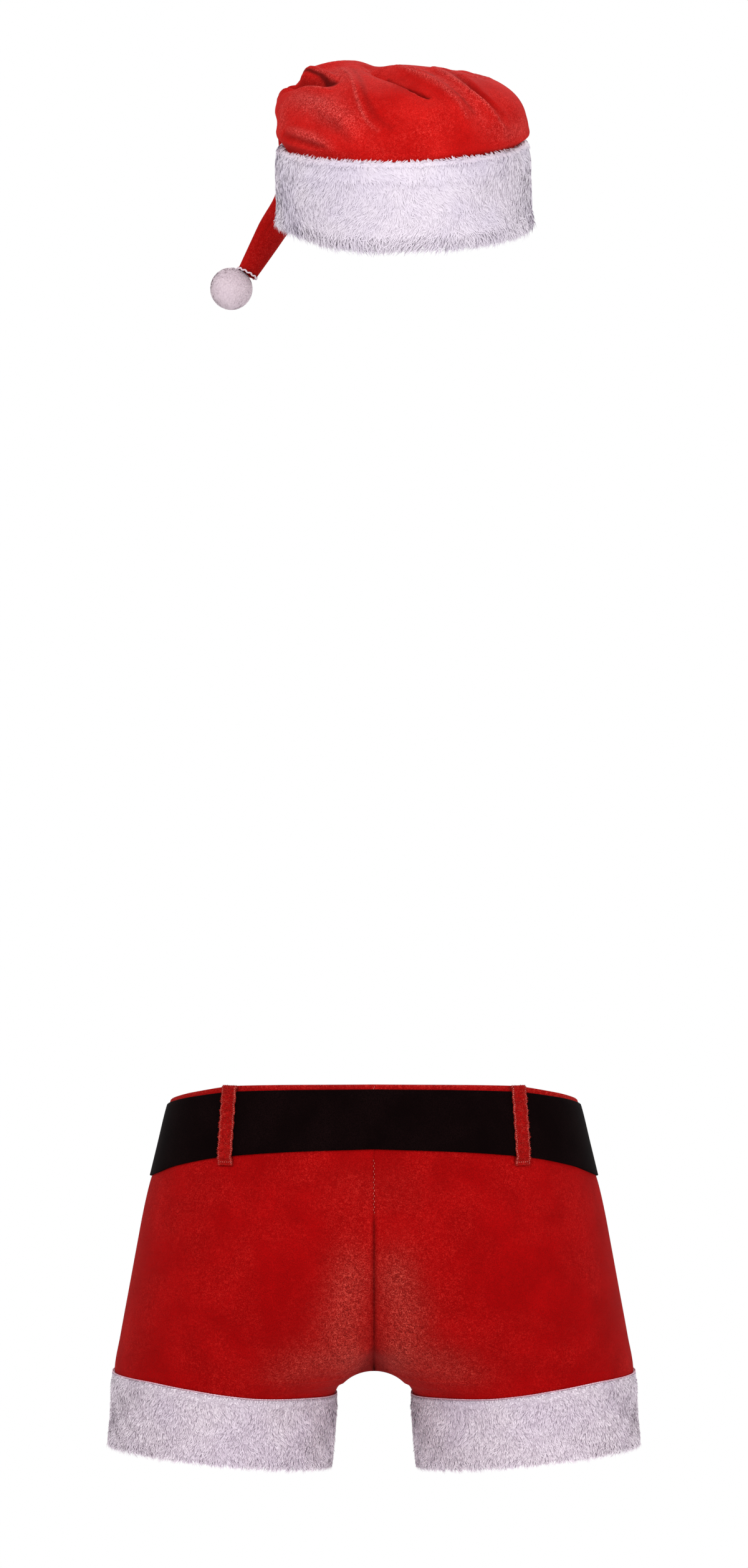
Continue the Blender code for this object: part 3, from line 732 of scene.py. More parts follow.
@dataclass(frozen=True)
class PlushFinish:
    """Short-pile red plush: lighter where its pile is brushed or rubbed and where painted sheen and painted
    highlights lie, darker under painted shade.
    """

    name: str
    deep: tuple[float, float, float]
    bright: tuple[float, float, float]
    # The lighter colour of rubbed pile, also used for painted sheen and painted highlights.
    worn: tuple[float, float, float]
    sheen: float
    spark: tuple[float, float, float]
    fleck_waves: float = 560.0
    grain_waves: float = 1400.0
    patch_waves: float = 34.0
    brush_waves: float = 19.0
    roughness: float = 0.85
    gloss: float = 0.04
    sheen_spread: float = 0.38
    sheen_tint: tuple[float, float, float] = (1.0, 0.16, 0.13)
    bump: tuple[float, float] = (0.7, 0.0010)

    def make(self) -> bpy.types.Material:
        """Makes the material.

        Returns:
            The material.
        """
        shading = Shading(self.name)
        grain = shading.noise(self.grain_waves, 2.0, 0.6)
        flecks = shading.noise(self.fleck_waves, 4.0, 0.65, 1.8)
        patches = shading.ramp(shading.noise(self.patch_waves, 3.0), 0.38, 0.66)
        brushed = shading.ramp(shading.noise(self.brush_waves, 2.0, 0.5, 0.6), 0.40, 0.62)
        ground = shading.mix(patches, self.deep, self.bright)
        dots = shading.math("MULTIPLY", shading.ramp(grain, 0.60, 0.40), 0.30)
        ground = shading.mix(dots, ground, shaded(self.deep, 0.30))
        # The lighter pile mixed in here is partly brushed wear and partly painted sheen and painted
        # highlights on ridge crests and edges.
        nap = shading.attribute("nap")
        bare = shading.ramp(flecks, 0.53, 0.40)
        amount = shading.math("MULTIPLY", bare, shading.math("MULTIPLY_ADD", nap, 0.95, 0.25))
        ground = shading.mix(amount, ground, shaded(self.deep, 0.35))
        lit = shading.ramp(flecks, 0.50, 0.62)
        even = shading.math("MULTIPLY", shading.math("MULTIPLY", lit, brushed), 0.55)
        ground = shading.mix(even, ground, self.spark)
        strands = shading.math("MULTIPLY_ADD", lit, 0.95, 0.14)
        worn = shading.mix(shading.math("MULTIPLY", nap, strands), ground, self.worn)
        # Painted shade: the plush darkens towards a deep tone in creases, tucks, the gusset and along edges
        # that turn under.
        depth = shading.math("MULTIPLY", shading.attribute("shade"), 0.88)
        colour = shading.mix(depth, worn, shaded(self.deep, 0.18))
        shading.surface(colour, self.roughness, self.gloss, self.sheen, self.sheen_spread)
        shading.feed(shading.shader.inputs["Sheen Tint"], self.sheen_tint)
        shading.bump(shading.math("ADD", flecks, shading.math("MULTIPLY", grain, 0.4)), *self.bump)
        return shading.material


@dataclass(frozen=True)
class FurFinish:
    """White fur with painted shade, darker and cooler towards its roots."""

    name: str
    root: tuple[float, float, float]
    tip: tuple[float, float, float]
    cool: tuple[float, float, float]
    unlike: float
    roughness: float
    cloud_waves: float = 24.0
    gloss: float = 0.35
    sheen: float = 0.2
    sheen_spread: float = 0.5

    def make(self) -> bpy.types.Material:
        """Makes the material.

        Returns:
            The material.
        """
        shading = Shading(self.name)
        along = shading.ramp(shading.attribute("along"), 0.0, 0.7)
        clouds = shading.ramp(shading.noise(self.cloud_waves, 2.0), 0.42, 0.66)
        # Painted shade: the fur runs from a darker root colour to its tip colour.
        colour = shading.mix(along, self.root, self.tip)
        colour = shading.mix(shading.math("MULTIPLY", clouds, 0.7), colour, self.cool, "MULTIPLY")
        tone = shading.math("MULTIPLY", shading.attribute("tone"), self.unlike)
        colour = shading.mix(tone, colour, self.root, "MULTIPLY")
        shading.surface(colour, self.roughness, self.gloss, self.sheen, self.sheen_spread)
        return shading.material


@dataclass(frozen=True)
class ClothFinish:
    """Plain woven cloth or thread, with a fine weave."""

    name: str
    dark: tuple[float, float, float]
    light: tuple[float, float, float]
    roughness: float
    sheen: float
    weave_waves: float = 1800.0
    patch_waves: float = 30.0
    gloss: float = 0.02
    sheen_spread: float = 0.4
    bump: tuple[float, float] = (0.3, 0.0004)

    def make(self) -> bpy.types.Material:
        """Makes the material.

        Returns:
            The material.
        """
        shading = Shading(self.name)
        grain = shading.noise(self.weave_waves, 2.0, 0.6)
        patches = shading.ramp(shading.noise(self.patch_waves, 3.0), 0.38, 0.66)
        colour = shading.mix(patches, self.dark, self.light)
        colour = shading.mix(shading.ramp(grain, 0.4, 0.62), shaded(self.dark, 0.5), colour)
        shading.surface(colour, self.roughness, self.gloss, self.sheen, self.sheen_spread)
        shading.bump(grain, *self.bump)
        return shading.material


def add_object(name: str, mesh: bpy.types.Mesh, material: bpy.types.Material) -> bpy.types.Object:
    """Puts a finished mesh in the scene, on the one body.

    Args:
        name: The piece's name.
        mesh: Its mesh.
        material: Its finish.

    Returns:
        The piece.
    """
    mesh.materials.append(material)
    made = bpy.data.objects.new(name, mesh)
    bpy.context.scene.collection.objects.link(made)
    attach(made, "root")
    return made


def store(mesh: bpy.types.Mesh, name: str, values: np.ndarray) -> None:
    """Stores a number for each vertex."""
    mesh.attributes.new(name, "FLOAT", "POINT").data.foreach_set("value", np.asarray(values, np.float32))


def store_fur(mesh: bpy.types.Mesh, along: float, tone: float) -> None:
    """Stores the same place along the fur and the same tone for every vertex."""
    store(mesh, "along", np.full(len(mesh.vertices), along))
    store(mesh, "tone", np.full(len(mesh.vertices), tone))


def finished(form: bmesh.types.BMesh, name: str) -> bpy.types.Mesh:
    """A smooth mesh made from a form, which is then freed.

    Args:
        form: The form.
        name: The mesh's name.

    Returns:
        The mesh.
    """
    mesh = bpy.data.meshes.new(name)
    form.to_mesh(mesh)
    form.free()
    mesh.shade_smooth()
    return mesh


def report(made: bpy.types.Object) -> None:
    """Logs a piece's name and its number of faces."""
    LOG.info("%s: %d faces", made.name, len(made.data.polygons))


def cloth_mesh(
    name: str, place: Place, columns: int, rows: int, turned: bool = False,
    spacing: Callable[[np.ndarray], np.ndarray] | None = None,
    rising: Callable[[np.ndarray], np.ndarray] | None = None,
) -> tuple[bpy.types.Mesh, np.ndarray, np.ndarray]:
    """A grid laid on a surface.

    Args:
        name: The mesh's name.
        place: The surface, from its two shares to points in millimetres.
        columns: Steps across.
        rows: Steps up.
        turned: True where the faces would point inwards.
        spacing: How the columns are spaced, from an even share to theirs.
        rising: How the rows are spaced.

    Returns:
        The mesh, and each vertex's shares across and up.
    """
    form = bmesh.new()
    bmesh.ops.create_grid(form, x_segments=columns, y_segments=rows, size=0.5)
    across = np.array([vertex.co.x for vertex in form.verts]) + 0.5
    up = np.array([vertex.co.y for vertex in form.verts]) + 0.5
    if spacing is not None:
        across = spacing(across)
    if rising is not None:
        up = rising(up)
    for vertex, point in zip(form.verts, place(across, up) * MM):
        vertex.co = point
    if turned:
        bmesh.ops.reverse_faces(form, faces=form.faces)
    return finished(form, name), across, up


def close_ring(mesh: bpy.types.Mesh) -> None:
    """Joins a ring's last column to its first.

    Args:
        mesh: The ring.
    """
    form = bmesh.new()
    form.from_mesh(mesh)
    bmesh.ops.remove_doubles(form, verts=form.verts, dist=MERGE_METRES)
    form.to_mesh(mesh)
    form.free()


def thicken(made: bpy.types.Object, thickness: float, rounding: float = 0.0) -> None:
    """Gives a cloth piece its thickness inwards, and rounds its edges.

    Args:
        made: The piece.
        thickness: Its thickness in millimetres.
        rounding: The width of its rounded edges, if any.
    """
    solid = made.modifiers.new("Thickness", "SOLIDIFY")
    solid.thickness = thickness * MM
    solid.offset = -1.0
    if rounding:
        bevel = made.modifiers.new("Edges", "BEVEL")
        bevel.width = rounding * MM
        bevel.segments = ROUNDING_STEPS
        bevel.limit_method = "ANGLE"
        bevel.angle_limit = math.radians(SHARP_DEGREES)


@dataclass(frozen=True)
class Pile:
    """How a fur's blades stand: sizes in millimetres, and shares from 0 to 1."""

    count: int
    length: float
    width: float
    rise: float
    droop: float
    ragged: float
    clump: float
    gather: float
    seed: int
    softness: float = 0.75
    edge_gather: float = 0.7
    edge_length: float = 1.0
    edge_rise: float = 0.5
    stray: float = 0.35
    uneven_rise: float = 0.3
    rise_limits: tuple[float, float] = (0.04, 1.0)
    middle_gather: float = 0.35
    middle_width: float = 0.75
    twist: float = 0.25
    own_tone: float = 0.6

    def grow(
        self, name: str, net: Net, comb: Field, edges: Field, trim: Field, material: bpy.types.Material,
        to_world: Callable[[np.ndarray], np.ndarray] | None = None,
    ) -> bpy.types.Object:
        """Grows fur on a surface as one mesh of tapered blades.

        Args:
            name: The piece's name.
            net: The surface that it grows on.
            comb: The way it is combed at each place, as parts along across and up.
            edges: How far each place counts as the fur's edge, where tufts are tighter and longer.
            trim: The share of its length that each place keeps.
            material: Its finish.
            to_world: Moves points from the surface's frame to their place.

        Returns:
            The fur.
        """
        random = np.random.default_rng(self.seed)
        u, v = net.scatter(self.count, random)
        root, out = net.read(net.points, u, v), unit(net.read(net.normals, u, v))
        across, up = net.read(net.across, u, v), net.read(net.up, u, v)
        way = comb(u, v) + self.stray * random.normal(size=(self.count, 2))
        lay = unit(way[:, :1] * across + way[:, 1:] * up)
        hub, hub_tone = self.hubs(net, u, v, random)
        edge = edges(u, v)[:, None]
        length = self.length * (1 - self.ragged * random.random((self.count, 1)) ** 1.5)
        length = length * (1 + (self.edge_length - 1) * edge) * trim(u, v)[:, None]
        gather = self.gather + (self.edge_gather - self.gather) * edge
        rise = self.rise + (self.edge_rise - self.rise) * edge
        rise = rise * (1 + self.uneven_rise * random.normal(size=(self.count, 1)))
        rise = np.clip(rise, *self.rise_limits)
        first = unit(out * rise + lay * (1 - rise))
        second = unit(first * (1 - self.droop) + lay * self.droop)
        middle = root + first * length * 0.5
        tip = middle + second * length * 0.5
        towards = hub + (tip - root) - tip
        towards -= (towards * out).sum(axis=1, keepdims=True) * out
        tip = tip + gather * towards
        middle = middle + self.middle_gather * gather * towards
        blade = unit(tip - root)
        flat = unit(np.cross(blade, out) + self.twist * random.normal(size=(self.count, 3)))
        half = flat * self.width * (0.7 + 0.6 * random.random((self.count, 1))) / 2
        upper = self.middle_width * half
        points = np.stack([root - half, root + half, middle - upper, middle + upper, tip], axis=1)
        facing = unit(np.cross(flat, blade))
        normals = unit(out * self.softness + facing * (1 - self.softness))
        points = points.reshape(-1, 3)
        if to_world is not None:
            turned = to_world(np.concatenate([np.zeros((1, 3)), normals]))
            normals = turned[1:] - turned[:1]
            points = to_world(points)
        base = 5 * np.arange(self.count)[:, None]
        corners = np.concatenate([base + [0, 1, 3, 2], base + [2, 3, 4]], axis=1).ravel()
        mesh = joined_mesh(name, points, corners, np.tile([4, 3], self.count))
        mesh.normals_split_custom_set_from_vertices(np.repeat(normals, 5, axis=0).tolist())
        # Each blade runs from its root to its tip here, for the fur finish's painted shade at the roots.
        store(mesh, "along", np.tile([0.0, 0.0, 0.5, 0.5, 1.0], self.count))
        tone = self.own_tone * random.random(self.count) + (1 - self.own_tone) * hub_tone
        store(mesh, "tone", np.repeat(tone, 5))
        made = add_object(name, mesh, material)
        report(made)
        return made

    def hubs(
        self, net: Net, u: np.ndarray, v: np.ndarray, random: np.random.Generator
    ) -> tuple[np.ndarray, np.ndarray]:
        """The clump that each blade belongs to.

        Args:
            net: The surface.
            u: Each blade's share across.
            v: Each blade's share up.
            random: The source of the draws.

        Returns:
            The middle of each blade's clump, and the clump's tone.
        """
        counts = []
        for axis in (1, 0):
            steps = np.linalg.norm(np.diff(net.points, axis=axis), axis=2)
            counts.append(max(int(steps.sum(axis=axis).mean() / self.clump), 1))
        wide, tall = counts
        jitter = random.random((tall + 2, wide + 2, 3))
        x, y = u * wide, v * tall
        best = np.full(len(u), np.inf)
        hub = np.zeros((len(u), 2))
        tone = np.zeros(len(u))
        for step_x in (-1, 0, 1):
            for step_y in (-1, 0, 1):
                i = np.clip(x.astype(int) + step_x, 0, wide)
                j = np.clip(y.astype(int) + step_y, 0, tall)
                at = jitter[j, i]
                away = (i + at[:, 0] - x) ** 2 + (j + at[:, 1] - y) ** 2
                nearer = away < best
                best = np.where(nearer, away, best)
                found = np.stack([(i + at[:, 0]) / wide, (j + at[:, 1]) / tall], axis=1)
                hub = np.where(nearer[:, None], found, hub)
                tone = np.where(nearer, at[:, 2], tone)
        return net.read(net.points, hub[:, 0], hub[:, 1]), tone


def joined_mesh(name: str, points: np.ndarray, corners: np.ndarray, sizes: np.ndarray) -> bpy.types.Mesh:
    """A mesh of many small pieces.

    Args:
        name: The mesh's name.
        points: All points, in millimetres.
        corners: The point at each corner of each face in turn.
        sizes: How many corners each face has.

    Returns:
        The mesh.
    """
    mesh = bpy.data.meshes.new(name)
    mesh.vertices.add(len(points))
    mesh.vertices.foreach_set("co", np.asarray(points * MM, np.float32).ravel())
    mesh.loops.add(len(corners))
    mesh.loops.foreach_set("vertex_index", np.asarray(corners, np.int32))
    mesh.polygons.add(len(sizes))
    mesh.polygons.foreach_set("loop_start", np.asarray(np.cumsum(sizes) - sizes, np.int32))
    mesh.polygons.foreach_set("loop_total", np.asarray(sizes, np.int32))
    mesh.update(calc_edges=True)
    return mesh


def threads(
    name: str, starts: np.ndarray, ends: np.ndarray, radius: float, material: bpy.types.Material
) -> bpy.types.Object:
    """Short stitches of thread, each a small rounded bead.

    Args:
        name: The piece's name.
        starts: Where the stitches start, in millimetres.
        ends: Where they end.
        radius: The thread's radius.
        material: Its finish.

    Returns:
        The stitches as one piece.
    """
    form = bmesh.new()
    bmesh.ops.create_uvsphere(form, u_segments=6, v_segments=4, radius=1.0)
    bead = np.array([vertex.co for vertex in form.verts])
    faces = [[vertex.index for vertex in face.verts] for face in form.faces]
    form.free()
    way = (ends - starts) / 2
    along = unit(way)
    side = unit(np.cross(along, np.array([0.31, 0.94, 0.13])))
    other = np.cross(along, side)
    points = (
        ((starts + ends) / 2)[:, None]
        + bead[None, :, 2:] * (way + along * radius)[:, None]
        + radius * (bead[None, :, :1] * side[:, None] + bead[None, :, 1:2] * other[:, None])
    )
    corners = np.concatenate([np.array(face) for face in faces])
    corners = (corners[None] + len(bead) * np.arange(len(starts))[:, None]).ravel()
    sizes = np.tile([len(face) for face in faces], len(starts))
    mesh = joined_mesh(name, points.reshape(-1, 3), corners, sizes)
    mesh.shade_smooth()
    made = add_object(name, mesh, material)
    report(made)
    return made


# Lighter pile on the seat, partly wear and stretch and partly painted sheen, with painted light by the
# gusset that lifts its shade: each place's x and z beside the centre-back seam, its half-widths and
# strength.
NAP_ZONES = (
    (17.0, -130.0, 17.0, 24.0, 0.62),
    (25.0, -166.0, 19.0, 24.0, 0.66),
    (44.0, -198.0, 28.0, 16.0, 0.56),
    (19.0, -194.0, 12.0, 16.0, 0.50),
    (13.0, -203.0, 12.0, 12.0, 0.30),
    (72.0, -208.0, 20.0, 9.0, 0.22),
    (12.0, -60.0, 30.0, 22.0, 0.08),
)
# How deep and wide the centre seam is drawn in, and how much painted shade lies in its crease, by height.
SEAM_COLUMNS = ("z", "dip", "reach", "dark")
CENTRE_SEAM = (
    (-300.0, 0.7, 2.0, 0.0),
    (-215.0, 0.3, 2.0, 0.1),
    (-200.0, 0.5, 2.2, 0.12),
    (-180.0, 0.8, 2.2, 0.20),
    (-148.0, 1.5, 2.2, 0.55),
    (-90.0, 1.6, 2.0, 0.60),
    (-78.0, 0.5, 1.4, 0.10),
    (-20.0, 0.4, 1.4, 0.05),
)


@dataclass
class Shorts:
    """The shorts' four plush panels, their waistband, seams and stitches."""

    back_steps: tuple[int, int] = (92, 78)
    front_steps: tuple[int, int] = (70, 60)
    crowding: float = 0.8
    thickness: float = 1.8
    side_seam: tuple[float, float] = (0.9, 1.8)
    nap_at_front: float = 0.4
    gusset_top: float = -184.0
    gusset_half_width: float = 15.0
    crease_blend: float = 7.0
    crease_begins: tuple[float, float] = (10.0, 34.0)
    crease_height: float = 10.0
    crotch_slope: float = 0.11
    crotch_reach: float = 15.0
    leg_share: float = 0.2
    leg_rows_climb: float = 16.0
    back_cut: tuple[tuple[float, float], float] = ((0.28, 0.215), 0.057)
    front_cut: tuple[tuple[float, float], float] = ((0.27, 0.20), 0.049)
    waistband_steps: tuple[int, int] = (240, 10)
    waistband_thickness: float = 1.9
    waistband_rounding: float = 0.6
    stitches: tuple[float, float, float] = (-38.0, -78.0, 2.1)
    waistband_stitches: tuple[float, float] = (17.2, 18.6)
    stitch_length: float = 1.0
    stitch_sway: float = 0.35
    stitch_lift: float = 0.05
    stitch_radius: float = 0.22

    def heights(self, turn: np.ndarray, up: np.ndarray) -> np.ndarray:
        """Heights of a panel's rows, closer together round the crotch.

        Args:
            turn: Turns round the shorts.
            up: Shares up the panel.

        Returns:
            The heights.
        """
        foot, top = SHORTS.cuffs["top"](np.abs(turn)), SHORTS.edges["waistband_foot"](turn)
        crotch = CROTCH_Z + (foot + self.leg_rows_climb - CROTCH_Z) * (1 - np.abs(turn)) ** 1.5
        leg = np.clip(up / self.leg_share, 0, 1)
        rise = np.clip((up - self.leg_share) / (1 - self.leg_share), 0, 1)
        return foot + (crotch - foot) * (1 - (1 - leg) ** 1.6) + (top - crotch) * rise**1.5

    def panel_place(self, side: Side, back: bool) -> Place:
        """The surface of a panel, from the centre or side seam anticlockwise and up.

        Args:
            side: The wearer's side.
            back: True for a back panel.

        Returns:
            The surface.
        """
        seam = curves(CENTRE_SEAM, SEAM_COLUMNS)

        def place(across: np.ndarray, up: np.ndarray) -> np.ndarray:
            """The surface at these shares.

            Args:
                across: Shares across.
                up: Shares up.

            Returns:
                Its points.
            """
            turn = across - 1 if back else across
            z = self.heights(turn, up)
            to_centre, to_side = (1 - np.abs(turn)) * PANEL_GIRTH, np.abs(turn) * PANEL_GIRTH
            depth = seam["dip"](z) * (1.0 if back else 0.6)
            dip = depth * np.exp(-((to_centre / seam["reach"](z)) ** 2))
            dip += self.side_seam[0] * np.exp(-((to_side / self.side_seam[1]) ** 2))
            points = SHORTS.lifted(z, turn, -dip)
            below = SHORTS.lifted(z - self.crease_blend, turn, -dip)
            above = SHORTS.lifted(z + self.crease_blend, turn, -dip)
            blend = 0.7 * smooth(*self.crease_begins, to_centre)
            blend *= np.exp(-(((z - CROTCH_Z) / self.crease_height) ** 2))
            points += blend[..., None] * ((below + above) / 2 - points)
            if back:
                x, y = points[..., 0], points[..., 1]
                tuck = self.crotch_slope * np.maximum(-6.0 - y, 0.0)
                tuck *= np.exp(-((x / self.crotch_reach) ** 2))
                points[..., 2] += tuck * smooth(-190.0, -211.0, z)
            meets = (to_centre < 0.01) & (z > CROTCH_Z)
            points[..., 0] = np.where(meets, 0.0, points[..., 0])
            return points * (side.value, 1.0, 1.0)

        return place

    def nap(self, points: np.ndarray, back: bool) -> np.ndarray:
        """How light the pile lies at each point, from wear and stretch, painted sheen and painted light.

        Args:
            points: Points of a panel.
            back: True for a back panel.

        Returns:
            A share from 0 to 1 for each point.
        """
        x, z = np.abs(points[:, 0]), points[:, 2]
        worn = np.zeros(len(points))
        for at_x, at_z, half_x, half_z, strength in NAP_ZONES:
            worn += strength * np.exp(-(((x - at_x) / half_x) ** 2) - ((z - at_z) / half_z) ** 2)
        return worn * (1.0 if back else self.nap_at_front)

    def shade(self, points: np.ndarray, turn: np.ndarray) -> np.ndarray:
        """Painted shade at each point: in the centre seam's crease, the gusset and along the inseams where
        the cloth turns under.

        Args:
            points: Points of a panel.
            turn: Their turns round the shorts.

        Returns:
            A share from 0 to 1 for each point.
        """
        x, z = np.abs(points[:, 0]), points[:, 2]
        dark = curves(CENTRE_SEAM, SEAM_COLUMNS)["dark"](z) * np.exp(-((x / 1.3) ** 2))
        drop = np.clip((self.gusset_top - z) / (self.gusset_top - CROTCH_Z), 0, 1)
        half = 0.8 + self.gusset_half_width * drop
        dark += 0.3 * (1 - smooth(0.75 * half, 1.1 * half, x)) * smooth(0.0, 0.12, drop)
        to_centre = (1 - np.abs(turn)) * PANEL_GIRTH
        dark += 0.25 * np.exp(-((to_centre / 5.0) ** 2)) * smooth(-204.0, -212.0, z)
        return np.clip(dark, 0, 1)

    def panel(self, side: Side, back: bool, material: bpy.types.Material) -> None:
        """Makes one of the four panels.

        Args:
            side: The wearer's side.
            back: True for a back panel.
            material: Its finish.
        """
        name = f"shorts_{'back' if back else 'front'}_{side.name.lower()}"
        mesh, across, _ = cloth_mesh(
            name + "_plush", self.panel_place(side, back), *(self.back_steps if back else self.front_steps),
            turned=side is Side.LEFT,
            spacing=lambda share: share - self.crowding * wave(share) / (2 * math.pi),
        )
        points = np.array([vertex.co for vertex in mesh.vertices]) / MM
        store(mesh, "nap", self.nap(points, back))
        store(mesh, "shade", self.shade(points, across - 1 if back else across))
        made = add_object(name + "_plush", mesh, material)
        thicken(made, self.thickness)
        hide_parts(name)
        flat, area = self.back_cut if back else self.front_cut
        report(made)

    def waistband(self, material: bpy.types.Material) -> None:
        """Makes the waistband, a ring whose top edge shows above the belt.

        Args:
            material: Its finish.
        """

        def place(across: np.ndarray, up: np.ndarray) -> np.ndarray:
            """The surface at these shares.

            Args:
                across: Shares across.
                up: Shares up.

            Returns:
                Its points.
            """
            way = 4 * across - 2
            low, high = SHORTS.edge_round("waistband_foot", way), SHORTS.edge_round("waist_top", way)
            return SHORTS.round_waist(way, low + (high - low) * up, np.zeros_like(way))

        mesh, _, up = cloth_mesh("waistband_plush", place, *self.waistband_steps)
        store(mesh, "nap", 0.3 * smooth(0.9, 1.0, up))
        store(mesh, "shade", np.zeros(len(up)))
        close_ring(mesh)
        made = add_object("waistband_plush", mesh, material)
        thicken(made, self.waistband_thickness, self.waistband_rounding)
        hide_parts("waistband")
        report(made)

    def seam_stitches(self, thread: bpy.types.Material) -> None:
        """Makes the small stitches that show at the top of the centre-back seam and on the waistband.

        Args:
            thread: Their finish.
        """
        high, low, pitch = self.stitches
        z = np.concatenate([np.arange(high, low, -pitch), self.waistband_stitches])
        turn, lift = np.full(len(z), -1.0), np.full(len(z), self.stitch_lift)
        starts, ends = SHORTS.lifted(z, turn, lift), SHORTS.lifted(z - self.stitch_length, turn, lift)
        starts[:, 0] = ends[:, 0] = self.stitch_sway * np.where(np.arange(len(z)) % 2, 1.0, -1.0)
        made = threads("centre_back_stitches", starts, ends, self.stitch_radius, thread)

    def build(self, plush: bpy.types.Material, thread: bpy.types.Material) -> None:
        """Makes the shorts.

        Args:
            plush: The cloth's finish.
            thread: The stitches' finish.
        """
        for side in Side:
            for back in (True, False):
                self.panel(side, back, plush)
        self.waistband(plush)
        self.seam_stitches(thread)


@dataclass
class BeltAndLoops:
    """The black belt, lapped at the front, and its four plush loops."""

    lap: float = 2 / 12
    climb: tuple[float, float] = (1.76, 1.82)
    belt_steps: tuple[int, int] = (300, 12)
    thickness: float = 1.9
    rounding: float = 0.5
    low: float = 2.2
    high: float = 4.5
    edge_fall: float = 0.35
    loop_steps: tuple[int, int] = (10, 44)
    loop_net: tuple[int, int] = (10, 60)
    loop_thickness: float = 1.5
    loop_rounding: float = 0.4
    loop_level: float = -20.0
    loop_width: float = 11.0
    loop_at_x: float = 114.2
    loop_slant: float = 4.0
    loop_below_belt: float = 6.5
    loop_top_drop: float = 0.4
    stitch: float = 1.5
    stitch_radius: float = 0.3
    stitched_height: float = 60.0
    loop_profile: tuple[tuple[float, float], ...] = (
        (0.0, 1.9), (0.045, 2.1), (0.09, 4.2), (0.5, 4.3), (0.9, 4.2), (0.955, 4.1), (1.0, 2.3)
    )
    fuzz: Pile = Pile(
        count=2600, length=1.15, width=0.3, rise=0.3, droop=0.4, ragged=0.6, clump=1.1, gather=0.3, seed=21,
        edge_rise=0.45
    )

    def belt_place(self, across: np.ndarray, up: np.ndarray) -> np.ndarray:
        """The belt's outer surface.

        Args:
            across: Shares from the lap's under end round to its upper end.
            up: Shares up.

        Returns:
            The surface's points.
        """
        way = (2 * across - 1) * (2 + self.lap)
        lift = self.low + (self.high - self.low) * (1 - smooth(-self.climb[1], -self.climb[0], way))
        lift = lift - self.edge_fall * (2 * up - 1) ** 4
        low, high = SHORTS.edge_round("belt_foot", way), SHORTS.edge_round("belt_top", way)
        return SHORTS.round_waist(way, low + (high - low) * up, lift)

    def belt(self, material: bpy.types.Material) -> None:
        """Makes the belt, one strip once round the waist.

        Args:
            material: Its finish.
        """
        mesh, _, _ = cloth_mesh("belt_cloth", self.belt_place, *self.belt_steps)
        made = add_object("belt_cloth", mesh, material)
        thicken(made, self.thickness, self.rounding)
        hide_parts("belt")
        report(made)

    def loop_place(self, side: Side, back: bool) -> Place:
        """The outer surface of a belt loop.

        Args:
            side: The wearer's side.
            back: True for a back loop.

        Returns:
            The surface.
        """
        profile = curves(self.loop_profile, ("place", "upper"))["upper"]

        def place(across: np.ndarray, up: np.ndarray) -> np.ndarray:
            """The surface at these shares.

            Args:
                across: Shares across.
                up: Shares up.

            Returns:
                Its points.
            """
            points = np.zeros((*across.shape, 3))
            for row in np.unique(up):
                chosen = up == row
                x = self.loop_at_x + self.loop_slant * (0.5 - row)
                turn = SHORTS.turn_at(self.loop_level, x, back)
                foot = float(SHORTS.edges["belt_foot"](turn)) - self.loop_below_belt
                top = float(SHORTS.edges["waist_top"](turn)) - self.loop_top_drop
                z = foot + (top - foot) * row
                half = self.loop_width / 2 + 0.25 * math.sin(40 * row) + 0.2 * math.sin(97 * row + 1)
                ends = [SHORTS.turn_at(z, x + reach, back) for reach in (-half, half)]
                turns = min(ends) + (max(ends) - min(ends)) * across[chosen]
                lift = float(profile(row)) - self.edge_fall * (2 * across[chosen] - 1) ** 4
                points[chosen] = SHORTS.lifted(np.full(chosen.sum(), z), turns, lift)
            return points * (side.value, 1.0, 1.0)

        return place

    def loop_stitches(self, name: str, place: Place, thread: bpy.types.Material) -> bpy.types.Object:
        """The light thread along a loop's two edges and its foot.

        Args:
            name: The loop's name.
            place: Its outer surface.
            thread: The thread's finish.

        Returns:
            The stitches.
        """
        up = np.arange(0.02, 0.985, self.stitch / self.stitched_height)
        edges = [np.stack([np.full(len(up), across), up], axis=1) for across in (0.07, 0.93)]
        across = np.arange(0.1, 0.9, self.stitch / self.loop_width)
        edges.append(np.stack([across, np.full(len(across), 0.035)], axis=1))
        u, v = np.concatenate(edges).T
        sway = np.sin(37.0 * np.arange(len(u)))
        starts = place(u + 0.02 * sway, v)
        ends = place(u - 0.05 * sway, v + 0.5 * self.stitch / self.stitched_height)
        return threads(name + "_stitches", starts, ends, self.stitch_radius, thread)

    def loop(
        self, side: Side, back: bool, material: bpy.types.Material, thread: bpy.types.Material
    ) -> None:
        """Makes a belt loop, its edge stitches and the short pile that makes its edges fuzzy.

        Args:
            side: The wearer's side.
            back: True for a back loop.
            material: The loop's finish.
            thread: The stitches' finish.
        """
        name = f"belt_loop_{'back' if back else 'front'}_{side.name.lower()}"
        place = self.loop_place(side, back)
        mesh, across, _ = cloth_mesh(name + "_plush", place, *self.loop_steps, turned=side is Side.LEFT)
        edge = np.abs(2 * across - 1)
        # The pile is lighter towards the loop's edges, as wear and painted highlight, and painted shade lies
        # on the very edges where the loop turns under.
        store(mesh, "nap", 0.06 + 0.9 * smooth(0.72, 0.88, edge))
        store(mesh, "shade", 0.35 * smooth(0.93, 1.0, edge))
        made = add_object(name + "_plush", mesh, material)
        thicken(made, self.loop_thickness, self.loop_rounding)
        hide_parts(name)
        net = Net(
            lambda u, v: place(u.ravel(), v.ravel()).reshape(*u.shape, 3), *self.loop_net, side is Side.LEFT
        )

